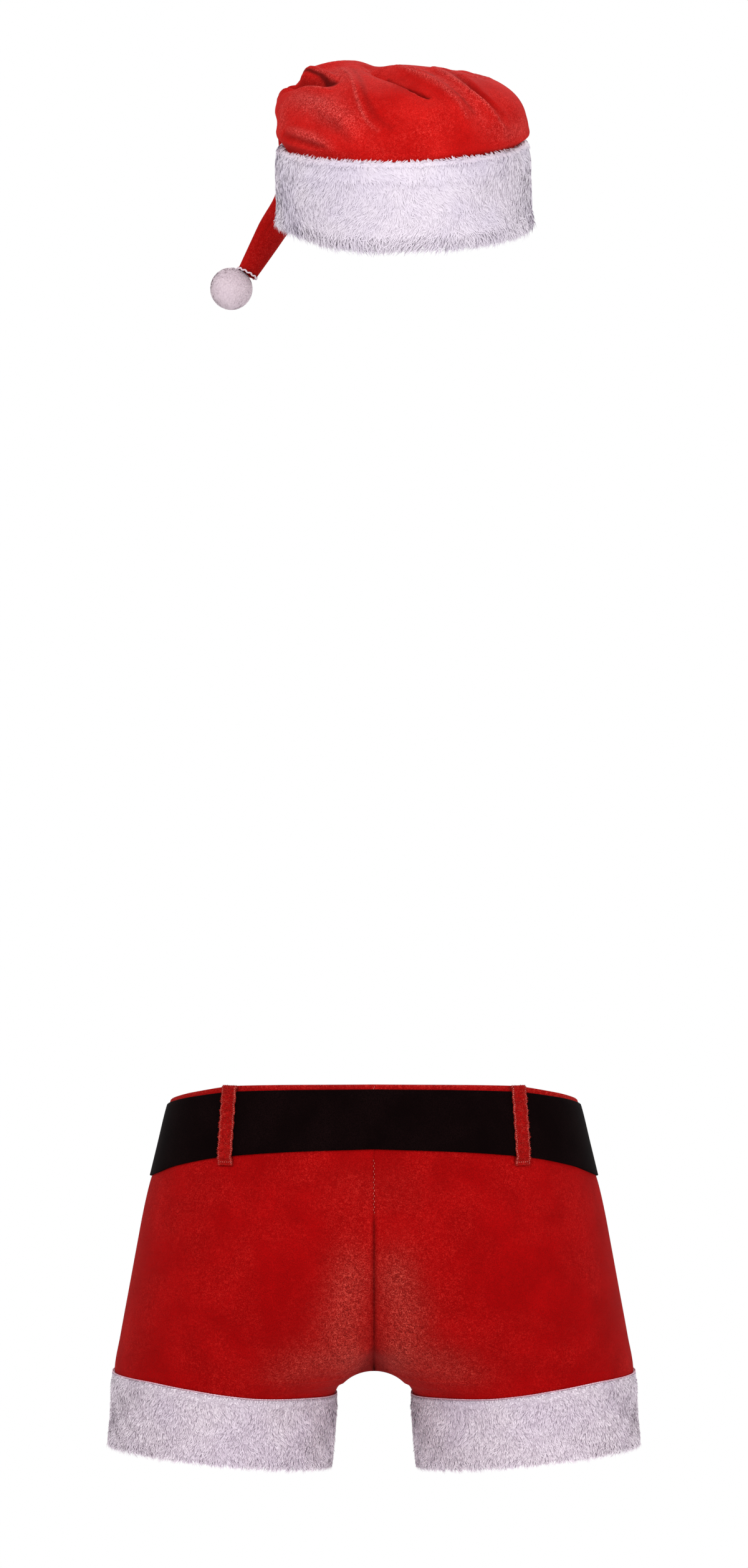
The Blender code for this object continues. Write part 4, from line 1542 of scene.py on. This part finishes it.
        def comb(u: np.ndarray, v: np.ndarray) -> np.ndarray:
            """The way the fur is combed here."""
            return np.stack([1.6 * (2 * u - 1), 0.4 * np.sin(60 * v)], axis=1)

        pile = self.fuzz.grow(
            name + "_fuzz", net, comb, lambda u, v: np.abs(2 * u - 1) ** 3, everywhere, material
        )
        # Painted highlight towards the fuzz's tips and painted shade at its roots.
        store(pile.data, "nap", np.tile([0.1, 0.1, 0.5, 0.5, 0.9], self.fuzz.count))
        store(pile.data, "shade", np.tile([0.2, 0.2, 0.0, 0.0, 0.0], self.fuzz.count))
        sewn = self.loop_stitches(name, place, thread)
        report(made)

    def build(
        self, cloth: bpy.types.Material, plush: bpy.types.Material, thread: bpy.types.Material
    ) -> None:
        """Makes the belt and its loops.

        Args:
            cloth: The belt's finish.
            plush: The loops' finish.
            thread: The stitches' finish.
        """
        self.belt(cloth)
        for side in Side:
            for back in (True, False):
                self.loop(side, back, plush, thread)


@dataclass
class Cuffs:
    """The fur cuffs, each a cloth ring with short combed-down fur."""

    core: tuple[tuple[float, float], ...] = (
        (1.0, 0.2), (0.985, 0.9), (0.9, 1.2), (0.5, 1.4), (0.1, 1.2), (0.015, 0.6), (0.0, -0.4), (0.02, -1.6)
    )
    base_steps: tuple[int, int] = (140, 18)
    base_thickness: float = 2.4
    net: tuple[int, int] = (260, 60)
    height: float = 57.0
    girth: float = 580.0
    pile: Pile = Pile(
        count=57000, length=4.6, width=0.74, rise=0.26, droop=0.5, ragged=0.4, clump=3.2, gather=0.62,
        seed=11, softness=0.6, edge_gather=0.95, edge_length=1.5, edge_rise=0.28
    )
    seam_path: tuple[tuple[float, float], ...] = ((1.0, 1.0), (0.9, 1.1))
    seam_lift: float = 0.3
    seam_stitch: float = 2.4
    seam_radius: float = 0.55

    def place(self, side: Side, path: Sequence[Sequence[float]]) -> Place:
        """A surface round a leg that follows a section path.

        Args:
            side: The wearer's side.
            path: The path from the top down, as shares of the cuff's height and distances out from the leg.

        Returns:
            The surface.
        """
        heights, outs = np.array(path, float).T
        at = path_shares(heights * self.height, outs)

        def placed(across: np.ndarray, up: np.ndarray) -> np.ndarray:
            """The surface at these shares.

            Args:
                across: Shares across.
                up: Shares up.

            Returns:
                Its points.
            """
            turn = 2 * across - 1
            share, out = np.interp(1 - up, at, heights), np.interp(1 - up, at, outs)
            foot, top = SHORTS.cuffs["foot"](np.abs(turn)), SHORTS.cuffs["top"](np.abs(turn))
            z = foot + (top - foot) * share
            surface = SHORTS.points(z, turn)
            centre = (SHORTS.figure["side"](z) + SHORTS.leg_inner_x(z)) / 2
            middle = np.stack([centre, SHORTS.figure["seam_y"](z), z], axis=-1)
            points = surface + out[..., None] * unit(surface - middle)
            return points * (side.value, 1.0, 1.0)

        return placed

    def cuff(self, side: Side, fur: bpy.types.Material, thread: bpy.types.Material) -> None:
        """Makes a cuff, its fur and the thread line where it is sewn on.

        Args:
            side: The wearer's side.
            fur: The fur's finish.
            thread: The seam thread's finish.
        """
        name = f"cuff_{side.name.lower()}"
        place = self.place(side, self.core)
        mesh, _, _ = cloth_mesh(name + "_base", place, *self.base_steps, turned=side is Side.LEFT)
        close_ring(mesh)
        store_fur(mesh, along=0.35, tone=0.5)
        base = add_object(name + "_base", mesh, fur)
        thicken(base, self.base_thickness)
        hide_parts(name)
        net = Net(place, *self.net, turned=side is Side.LEFT)

        def comb(u: np.ndarray, v: np.ndarray) -> np.ndarray:
            """The way the fur is combed here."""
            sway = 0.45 * wave(7 * u + 1.3 * v) + 0.35 * wave(17 * u - 2 * v)
            return np.stack([sway, -1.2 + 0.3 * wave(11 * u + 3 * v)], axis=1)

        def edges(u: np.ndarray, v: np.ndarray) -> np.ndarray:
            """How far this place is at the fur's edge.

            Args:
                u: Shares round.
                v: Shares up.

            Returns:
                A share from 0 to 1 for each place.
            """
            return (1 - smooth(0.03, 0.16, v)) * (0.75 + 0.25 * wave(37 * u))

        def trim(u: np.ndarray, v: np.ndarray) -> np.ndarray:
            """The share of its length the fur keeps here."""
            return 1 - 0.55 * smooth(0.84, 0.93, v)

        pile = self.pile.grow(name + "_fur", net, comb, edges, trim, fur)
        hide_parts(name)
        across = np.arange(0, 1, self.seam_stitch / self.girth)
        line = self.place(side, self.seam_path)(across, np.ones_like(across)) + (0.0, 0.0, self.seam_lift)
        sewn = threads(name + "_seam", line, np.roll(line, -1, axis=0), self.seam_radius, thread)
        report(base)

    def build(self, fur: bpy.types.Material, thread: bpy.types.Material) -> None:
        """Makes both cuffs."""
        for side in Side:
            self.cuff(side, fur, thread)


# Finer folds of the crown than its solids have. A last number above 2 squares a fold's section.
FINE_FOLDS = (
    (332.0, 10.3, 302.0, 6.7, 306.0, 4.0, 2.2, 2.6),
    (338.0, 10.0, 309.0, 6.8, 313.0, 4.4, -1.4, 4.0),
    (350.0, 10.2, 333.0, 8.0, 333.0, 6.2, 2.2, 2.4),
    (345.0, 9.6, 334.0, 7.8, 335.0, 6.4, -5.5, 2.2),
    (356.0, 9.2, 345.0, 7.4, 346.0, 4.4, 2.9, 2.4),
    (345.0, 8.3, 341.0, 6.8, 341.0, 5.1, -2.4, 3.6),
    (363.0, 8.6, 352.0, 7.0, 353.0, 5.0, -2.6, 3.6),
    (356.0, 9.1, 353.0, 8.4, 352.0, 6.9, 1.3, 1.8),
    (376.0, 8.6, 358.0, 6.4, 366.0, 3.5, 2.8, 3.0),
    (377.0, 8.1, 362.0, 6.4, 365.0, 4.9, -4.4, 4.2),
    (373.0, 7.5, 381.0, 7.2, 400.0, 7.0, 1.2, 2.2),
    (363.0, 6.0, 368.0, 4.7, 375.0, 3.4, 1.2, 4.0),
    (255.0, 4.5, 271.0, 3.8, 284.0, 3.0, 2.6, 3.0),
    (250.0, 3.9, 268.0, 3.2, 280.0, 2.7, -3.2, 2.8),
    (274.0, 8.3, 284.0, 5.9, 295.0, 4.2, 1.5, 6.0),
    (272.0, 6.2, 284.0, 4.8, 292.0, 3.6, -2.2, 4.4),
    (280.0, 12.4, 299.0, 10.6, 305.5, 9.3, -14.0, 5.6, 4.0),
    (286.0, 9.8, 291.0, 9.0, 297.0, 8.3, 2.4, 3.0),
    (316.0, 11.6, 318.0, 10.6, 314.0, 9.5, 3.0, 3.2),
    (298.0, 10.3, 304.0, 9.7, 300.0, 9.2, 5.0, 1.8),
    (320.0, 4.4, 331.0, 3.6, 342.0, 3.0, 0.8, 4.0),
    (316.0, 12.9, 309.0, 12.2, 300.0, 11.4, -6.5, 6.0),
    (396.0, 11.4, 386.0, 10.8, 366.0, 10.2, -4.5, 12.0),
    (402.0, 9.1, 395.0, 8.7, 386.0, 8.2, -2.0, 3.6),
    (406.0, 8.2, 399.0, 7.9, 390.0, 7.5, 1.8, 4.5),
    (120.0, 3.4, 122.0, 5.0, 118.0, 6.6, 1.2, 4.0),
    (76.0, 4.0, 78.0, 5.6, 72.0, 7.2, -1.4, 3.6),
    (150.0, 4.2, 152.0, 6.2, 144.0, 8.2, 1.4, 3.6),
    (98.0, 3.4, 96.0, 5.4, 92.0, 8.4, 1.2, 3.4),
    (170.0, 3.6, 174.0, 5.4, 168.0, 7.8, -1.2, 3.6),
)

# Where the crown's pile is brushed light, in broad zones, and painted highlights along its ridge crests, in
# narrow lines: places, strength and half-width.
BRUSHED_PILE_AND_HIGHLIGHTS = (
    (332.0, 10.3, 302.0, 6.7, 306.0, 4.0, 0.85, 1.3),
    (332.0, 10.6, 322.0, 9.8, 308.0, 8.2, 0.40, 7.0),
    (350.0, 10.2, 333.0, 8.0, 333.0, 6.2, 0.80, 1.2),
    (356.0, 9.2, 345.0, 7.4, 346.0, 4.4, 0.85, 1.3),
    (356.0, 9.1, 353.0, 8.4, 352.0, 6.9, 0.75, 1.1),
    (376.0, 8.6, 358.0, 6.4, 366.0, 3.5, 0.80, 1.6),
    (373.0, 7.5, 381.0, 7.2, 400.0, 7.0, 0.50, 1.6),
    (362.0, 8.6, 352.0, 6.0, 356.0, 3.6, 0.36, 10.0),
    (270.0, 8.8, 282.0, 6.6, 293.0, 4.6, 0.72, 11.0),
    (255.0, 4.5, 271.0, 3.8, 284.0, 3.0, 0.70, 3.6),
    (250.0, 7.8, 246.0, 6.0, 250.0, 4.8, 0.32, 6.0),
    (362.0, 3.4, 378.0, 3.0, 396.0, 3.4, 0.40, 8.0),
    (286.0, 9.8, 291.0, 9.0, 297.0, 8.3, 0.60, 1.4),
    (313.0, 11.3, 316.0, 10.4, 311.0, 9.3, 0.50, 1.3),
    (298.0, 10.3, 304.0, 9.7, 300.0, 9.2, 0.35, 1.2),
    (60.0, 3.4, 66.0, 5.5, 62.0, 8.0, 0.35, 8.0),
    (104.0, 3.2, 114.0, 5.0, 110.0, 7.8, 0.35, 8.0),
    (150.0, 3.4, 152.0, 6.2, 144.0, 8.2, 0.35, 7.0),
    (330.0, 14.0, 330.0, 16.0, 330.0, 18.5, 0.12, 5.0),
)

# Painted shade in the crown's tucks and slot and beside its ridges.
PAINTED_SHADE_LINES = (
    (341.0, 8.8, 334.5, 7.7, 335.0, 6.3, 1.70, 1.9),
    (337.0, 10.1, 307.0, 6.8, 311.0, 4.2, 0.42, 2.6),
    (361.0, 8.9, 350.0, 7.2, 351.0, 4.8, 0.48, 2.6),
    (379.0, 8.2, 363.0, 6.5, 368.0, 4.4, 0.58, 3.4),
    (250.0, 3.9, 268.0, 3.2, 280.0, 2.7, 0.50, 2.6),
    (280.0, 12.4, 299.0, 10.6, 305.5, 9.3, 0.62, 5.4, 4.0),
    (311.0, 11.6, 313.5, 10.5, 309.0, 9.4, 1.50, 1.4),
    (311.0, 9.9, 309.5, 9.1, 302.0, 8.7, 1.50, 1.3),
    (287.0, 9.9, 293.0, 9.25, 303.0, 8.7, 1.40, 1.3),
    (336.0, 7.9, 334.0, 7.1, 335.0, 6.3, 1.60, 1.4),
    (276.0, 5.8, 284.0, 4.8, 292.0, 3.6, 0.28, 4.0),
)


@dataclass
class Hat:
    """The hat: a plush crown in two halves, a fur band and a fur pompom."""

    near_steps: tuple[int, int] = (176, 176)
    far_steps: tuple[int, int] = (88, 104)
    row_spacing: tuple[tuple[float, float], ...] = ((0.0, 0.0), (0.06, 1.7), (0.74, 12.0), (1.0, 19.0))
    thickness: float = 1.5
    seam_dip: float = 1.0
    seam_reach: float = 1.6
    near_cut: tuple[tuple[float, float], float] = ((0.34, 0.36), 0.055)
    far_cut: tuple[tuple[float, float], float] = ((0.26, 0.36), 0.031)
    band_core: tuple[tuple[float, float], ...] = (
        (0.97, 0.10), (0.985, 0.30), (0.95, 0.46), (0.80, 0.52), (0.45, 0.54), (0.16, 0.52), (0.04, 0.40),
        (0.01, 0.20), (0.03, 0.02), (0.10, 0.0)
    )
    band_steps: tuple[int, int] = (160, 26)
    band_thickness: float = 1.5
    band_depth: float = 13.5
    band_net: tuple[int, int] = (300, 80)
    band_pile: Pile = Pile(
        count=60000, length=9.5, width=1.22, rise=0.1, droop=0.6, ragged=0.5, clump=4.4,
        gather=0.25, seed=5, softness=0.94, edge_gather=0.85, edge_length=1.2, edge_rise=0.36
    )
    pompom_pile: Pile = Pile(
        count=13000, length=3.4, width=1.1, rise=0.08, droop=0.4, ragged=0.3, clump=2.4,
        gather=0.0, seed=9, softness=1.0
    )
    pompom_core: float = 16.8
    pompom_fineness: int = 4
    pompom_net: tuple[int, int] = (80, 40)
    frill: tuple[float, float, int] = (18.965, 19.0, 11)
    frill_lift: float = 0.6
    frill_radius: float = 0.8
    left_cut: float = 7.0

    def crown_place(self, first: float, last: float) -> Place:
        """A half of the crown between two seams.

        Args:
            first: The bearing of the seam it starts at.
            last: The bearing of the seam it ends at.

        Returns:
            The surface.
        """

        def place(across: np.ndarray, up: np.ndarray) -> np.ndarray:
            """The surface at these shares.

            Args:
                across: Shares across.
                up: Shares up.

            Returns:
                Its points.
            """
            bearing, station = first + (last - first) * across, LAST_STATION * up
            points = HAT.crown(bearing, station, FINE_FOLDS)
            to_seam = np.minimum(across, 1 - across) * (last - first)
            reach = np.maximum(HAT.stations["half"](station), 8.0) * math.radians(1.0)
            fade = smooth(1.0, 3.0, station) * (1 - 0.7 * smooth(13.0, 16.0, station))
            dip = self.seam_dip * fade * np.exp(-((to_seam * reach / self.seam_reach) ** 2))
            return HAT.to_world(points - dip[..., None] * HAT.crown_outward(bearing, station))

        return place

    def crown(self, near: bool, material: bpy.types.Material) -> None:
        """Makes the crown's near or far half.

        Args:
            near: True for the half on the photo's side.
            material: Its finish.
        """
        name = "hat_crown_near" if near else "hat_crown_far"
        first, last = (LEFT_SEAM, 360.0 + RIGHT_SEAM) if near else (RIGHT_SEAM, LEFT_SEAM)
        shares, at = np.array(self.row_spacing).T
        mesh, across, up = cloth_mesh(
            name + "_plush", self.crown_place(first, last), *(self.near_steps if near else self.far_steps),
            rising=lambda share: np.interp(share, shares, at) / LAST_STATION,
        )
        bearing, station = first + (last - first) * across, LAST_STATION * up
        before = HAT.smooth_crown(bearing, station)
        shown = smooth(*FOLDS_BEGIN, station)
        # Lighter pile in brushed zones and painted highlights along ridge crests; painted shade in the
        # tucks, the slot and beside ridges; and the tail darker from station 13 on.
        store(mesh, "nap", np.clip(HAT.along_lines(before, BRUSHED_PILE_AND_HIGHLIGHTS) * shown, 0, 1))
        tail = 0.35 * smooth(13.0, 15.5, station)
        store(mesh, "shade", np.clip(HAT.along_lines(before, PAINTED_SHADE_LINES) * shown + tail, 0, 1))
        made = add_object(name + "_plush", mesh, material)
        thicken(made, self.thickness)
        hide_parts(name)
        flat, area = self.near_cut if near else self.far_cut
        report(made)

    def band_place(self, across: np.ndarray, up: np.ndarray) -> np.ndarray:
        """The surface that the band's fur grows on, from its top edge down the outside to the inside.

        Args:
            across: Shares round the band.
            up: Shares up the surface.

        Returns:
            Its points in the hat's own frame.
        """
        heights, depths = np.array(self.band_core, float).T
        at = path_shares(heights * BAND_HEIGHT, depths * self.band_depth)
        height, through = np.interp(1 - up, at, heights), np.interp(1 - up, at, depths)
        direction = HAT.level(360.0 * across)
        near, far = HAT.oval_radius(direction, *BAND_INNER), HAT.oval_radius(direction, *BAND_OUTER)
        out = direction * (near + (far - near) * through[..., None])
        cut = self.left_cut * smooth(0.35, 0.95, -direction[..., 0]) * (1 - height) ** 2
        return out + HAT.up * (BAND_HEIGHT * height + cut)[..., None]

    def band(self, fur: bpy.types.Material) -> None:
        """Makes the fur band.

        Args:
            fur: Its finish.
        """
        mesh, _, _ = cloth_mesh(
            "hat_band_base", lambda u, v: HAT.to_world(self.band_place(u, v)), *self.band_steps
        )
        close_ring(mesh)
        store_fur(mesh, along=0.4, tone=0.3)
        base = add_object("hat_band_base", mesh, fur)
        thicken(base, self.band_thickness)
        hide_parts("hat_band")
        net = Net(self.band_place, *self.band_net)

        def comb(u: np.ndarray, v: np.ndarray) -> np.ndarray:
            """The way the fur is combed here."""
            sway = 0.6 * wave(4 * u + 0.9 * v) + 0.4 * wave(9 * u - 1.6 * v)
            return np.stack([sway, -1.0 + 2.2 * smooth(0.93, 0.97, v)], axis=1)

        def edges(u: np.ndarray, v: np.ndarray) -> np.ndarray:
            """How far this place is at the fur's edge.

            Args:
                u: Shares round.
                v: Shares up.

            Returns:
                A share from 0 to 1 for each place.
            """
            sides = smooth(0.68, 0.95, np.abs(HAT.level(360.0 * u)[:, 0]))
            low = 1 - smooth(0.17, 0.31, v) + 0.12 * sides * (1 - smooth(0.35, 0.7, v))
            return np.clip(low + 0.8 * smooth(0.94, 0.97, v), 0, 1)

        def trim(u: np.ndarray, v: np.ndarray) -> np.ndarray:
            """The share of its length the fur keeps here."""
            tufts = 0.5 + 0.5 * wave(5 * u + 0.6 * wave(3 * u))
            return 1 - (0.72 - 0.2 * tufts) * smooth(0.82, 0.93, v)

        pile = self.band_pile.grow("hat_band_fur", net, comb, edges, trim, fur, HAT.to_world)
        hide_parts("hat_band")
        report(base)

    def pompom(self, fur: bpy.types.Material) -> None:
        """Makes the pompom at the tail's tip: a round core with short smooth fur, and the frill above it.

        Args:
            fur: Its finish.
        """
        centre = POMPOM_ALONG * HAT.along + POMPOM_ASIDE * HAT.aside + POMPOM_UP * HAT.up

        def ball(across: np.ndarray, up: np.ndarray) -> np.ndarray:
            """The core's surface at these shares.

            Args:
                across: Shares across.
                up: Shares up.

            Returns:
                Its points.
            """
            bearing, height = 2 * math.pi * across, math.pi * (up - 0.5)
            level = np.cos(height)
            out = np.stack([np.cos(bearing) * level, np.sin(bearing) * level, np.sin(height)], -1)
            return centre + self.pompom_core * out

        form = bmesh.new()
        bmesh.ops.create_icosphere(form, subdivisions=self.pompom_fineness, radius=self.pompom_core * MM)
        place = HAT.to_world(centre[None])[0] * MM
        bmesh.ops.translate(form, verts=form.verts, vec=Vector(place))
        mesh = finished(form, "pompom_core")
        store_fur(mesh, along=0.4, tone=0.3)
        core = add_object("pompom_core", mesh, fur)
        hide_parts("pompom")

        def comb(u: np.ndarray, v: np.ndarray) -> np.ndarray:
            """The way the fur is combed here."""
            return np.stack([0.6 * wave(3 * u + v), -0.6 + 0.4 * np.cos(4 * math.pi * u)], axis=1)

        net = Net(ball, *self.pompom_net)
        pile = self.pompom_pile.grow("pompom_fur", net, comb, nowhere, everywhere, fur, HAT.to_world)
        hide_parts("pompom")
        high, low, count = self.frill
        steps = np.arange(2 * count)
        bearing, station = 180.0 * steps / count, np.where(steps % 2, low, high)
        loops = HAT.smooth_crown(bearing, station) + self.frill_lift * HAT.crown_outward(bearing, station)
        loops = HAT.to_world(loops)
        made = threads("pompom_frill", loops, np.roll(loops, -1, axis=0), self.frill_radius, fur)
        store_fur(made.data, along=1.0, tone=0.0)
        report(core)

    def build(
        self, plush: bpy.types.Material, fur: bpy.types.Material, ball: bpy.types.Material
    ) -> None:
        """Makes the hat.

        Args:
            plush: The crown's finish.
            fur: The band's finish.
            ball: The pompom's finish.
        """
        self.crown(True, plush)
        self.crown(False, plush)
        self.band(fur)
        self.pompom(ball)


@dataclass
class Studio:
    """The camera, pale floor and soft lights. Sizes are in metres."""

    distance: float = 4.5
    eye_height: float = 0.2555
    frame_height: float = 1.257
    sensor: float = 36.0
    floor_z: float = -1.03
    floor_size: float = 7.0
    ambient: float = 0.72
    lit_point: tuple[float, float, float] = (0.0, 0.0, 0.25)
    lights: tuple[tuple[str, tuple[float, float, float], float, float], ...] = (
        ("key", (-1.6, -2.6, 2.2), 1.6, 56.0),
        ("fill", (2.0, -2.4, 0.8), 1.8, 38.0),
        ("rim", (0.6, 2.2, 2.2), 1.6, 28.0),
    )

    def camera(self) -> None:
        """A level camera at the photo's viewpoint, behind the wearer's back."""
        data = bpy.data.cameras.new("camera")
        data.sensor_fit = "VERTICAL"
        data.sensor_height = self.sensor
        data.lens = self.sensor * self.distance / self.frame_height
        made = bpy.data.objects.new("camera", data)
        made.location = (0.0, -self.distance, self.eye_height)
        made.rotation_euler = (math.radians(90.0), 0.0, 0.0)
        bpy.context.scene.collection.objects.link(made)
        bpy.context.scene.camera = made

    def light(self, name: str, place: Sequence[float], size: float, power: float) -> None:
        """Adds a square soft light that faces the middle of the set.

        Args:
            name: The light's name.
            place: Where it stands.
            size: Its width.
            power: Its power in watts.
        """
        data = bpy.data.lights.new(name, "AREA")
        data.size = size
        data.energy = power
        made = bpy.data.objects.new(name, data)
        made.location = place
        towards = Vector(self.lit_point) - Vector(place)
        made.rotation_euler = towards.to_track_quat("-Z", "Y").to_euler()
        bpy.context.scene.collection.objects.link(made)

    def floor(self) -> None:
        """A plain pale floor at a standing wearer's feet."""
        form = bmesh.new()
        bmesh.ops.create_grid(form, x_segments=1, y_segments=1, size=self.floor_size / 2)
        bmesh.ops.translate(form, verts=form.verts, vec=(0.0, 0.0, self.floor_z))
        mesh = finished(form, "floor")
        shading = Shading("pale_floor")
        grain = shading.ramp(shading.noise(6.0), 0.3, 0.7)
        colour = shading.mix(grain, (0.82, 0.82, 0.83), (0.86, 0.86, 0.87))
        shading.feed(shading.shader.inputs["Base Color"], colour)
        shading.feed(shading.shader.inputs["Roughness"], 0.8)
        mesh.materials.append(shading.material)
        made = bpy.data.objects.new("floor", mesh)
        bpy.context.scene.collection.objects.link(made)

    def sky(self) -> None:
        """A white surround, softer as a light than as a background."""
        world = bpy.data.worlds.new("studio")
        bpy.context.scene.world = world
        world.use_nodes = True
        tree = world.node_tree
        background = tree.nodes["Background"]
        background.inputs["Color"].default_value = (1.0, 1.0, 1.0, 1.0)
        seen = tree.nodes.new("ShaderNodeLightPath").outputs["Is Camera Ray"]
        strength = tree.nodes.new("ShaderNodeMapRange")
        strength.inputs["To Min"].default_value = self.ambient
        strength.inputs["To Max"].default_value = 1.0
        tree.links.new(seen, strength.inputs["Value"])
        tree.links.new(strength.outputs["Result"], background.inputs["Strength"])

    def build(self) -> None:
        """Sets up the studio."""
        self.camera()
        self.floor()
        self.sky()
        for name, place, size, power in self.lights:
            self.light(name, place, size, power)
        bpy.context.scene.view_settings.view_transform = "Standard"


SHORTS_PLUSH = PlushFinish(
    "red_plush_shorts", (0.32, 0.0005, 0.0010), (0.385, 0.0010, 0.0016), (0.60, 0.075, 0.055), 0.05,
    (0.52, 0.014, 0.011)
)
HAT_PLUSH = PlushFinish(
    "red_plush_hat", (0.52, 0.005, 0.004), (0.64, 0.010, 0.008), (0.82, 0.125, 0.11), 0.08,
    (0.80, 0.045, 0.036)
)
# Each fur's first colour is painted shade at its roots and the second its tips' colour; the pompom's two are
# the same.
CUFF_FUR = FurFinish(
    "white_fur_cuffs", (0.50, 0.42, 0.49), (0.97, 0.875, 0.94), (0.92, 0.90, 0.95), 0.62, 0.4
)
BAND_FUR = FurFinish(
    "white_fur_hat", (0.69, 0.62, 0.70), (0.765, 0.695, 0.775), (0.89, 0.88, 0.94), 0.14, 0.6
)
POMPOM_FUR = FurFinish(
    "white_fur_pompom", (0.73, 0.61, 0.66), (0.73, 0.61, 0.66), (0.94, 0.92, 0.95), 0.05, 0.6
)
BELT_CLOTH = ClothFinish(
    "black_belt_cloth", (0.0030, 0.0006, 0.0008), (0.0065, 0.0020, 0.0022), 0.8, 0.005
)
RED_THREAD = ClothFinish("red_thread", (0.66, 0.13, 0.11), (0.80, 0.22, 0.19), 0.8, 0.1)
PINK_THREAD = ClothFinish("pink_thread", (0.80, 0.42, 0.52), (0.95, 0.66, 0.76), 0.8, 0.1)


def main() -> None:
    """Builds the set piece by piece."""
    logging.basicConfig(level=logging.INFO, format="%(message)s")
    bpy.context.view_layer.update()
    Studio().build()
    shorts_plush, hat_plush = SHORTS_PLUSH.make(), HAT_PLUSH.make()
    red_thread, pink_thread = RED_THREAD.make(), PINK_THREAD.make()
    Shorts().build(shorts_plush, red_thread)
    BeltAndLoops().build(BELT_CLOTH.make(), shorts_plush, red_thread)
    Cuffs().build(CUFF_FUR.make(), pink_thread)
    Hat().build(hat_plush, BAND_FUR.make(), POMPOM_FUR.make())


if __name__ == "__main__":
    main()
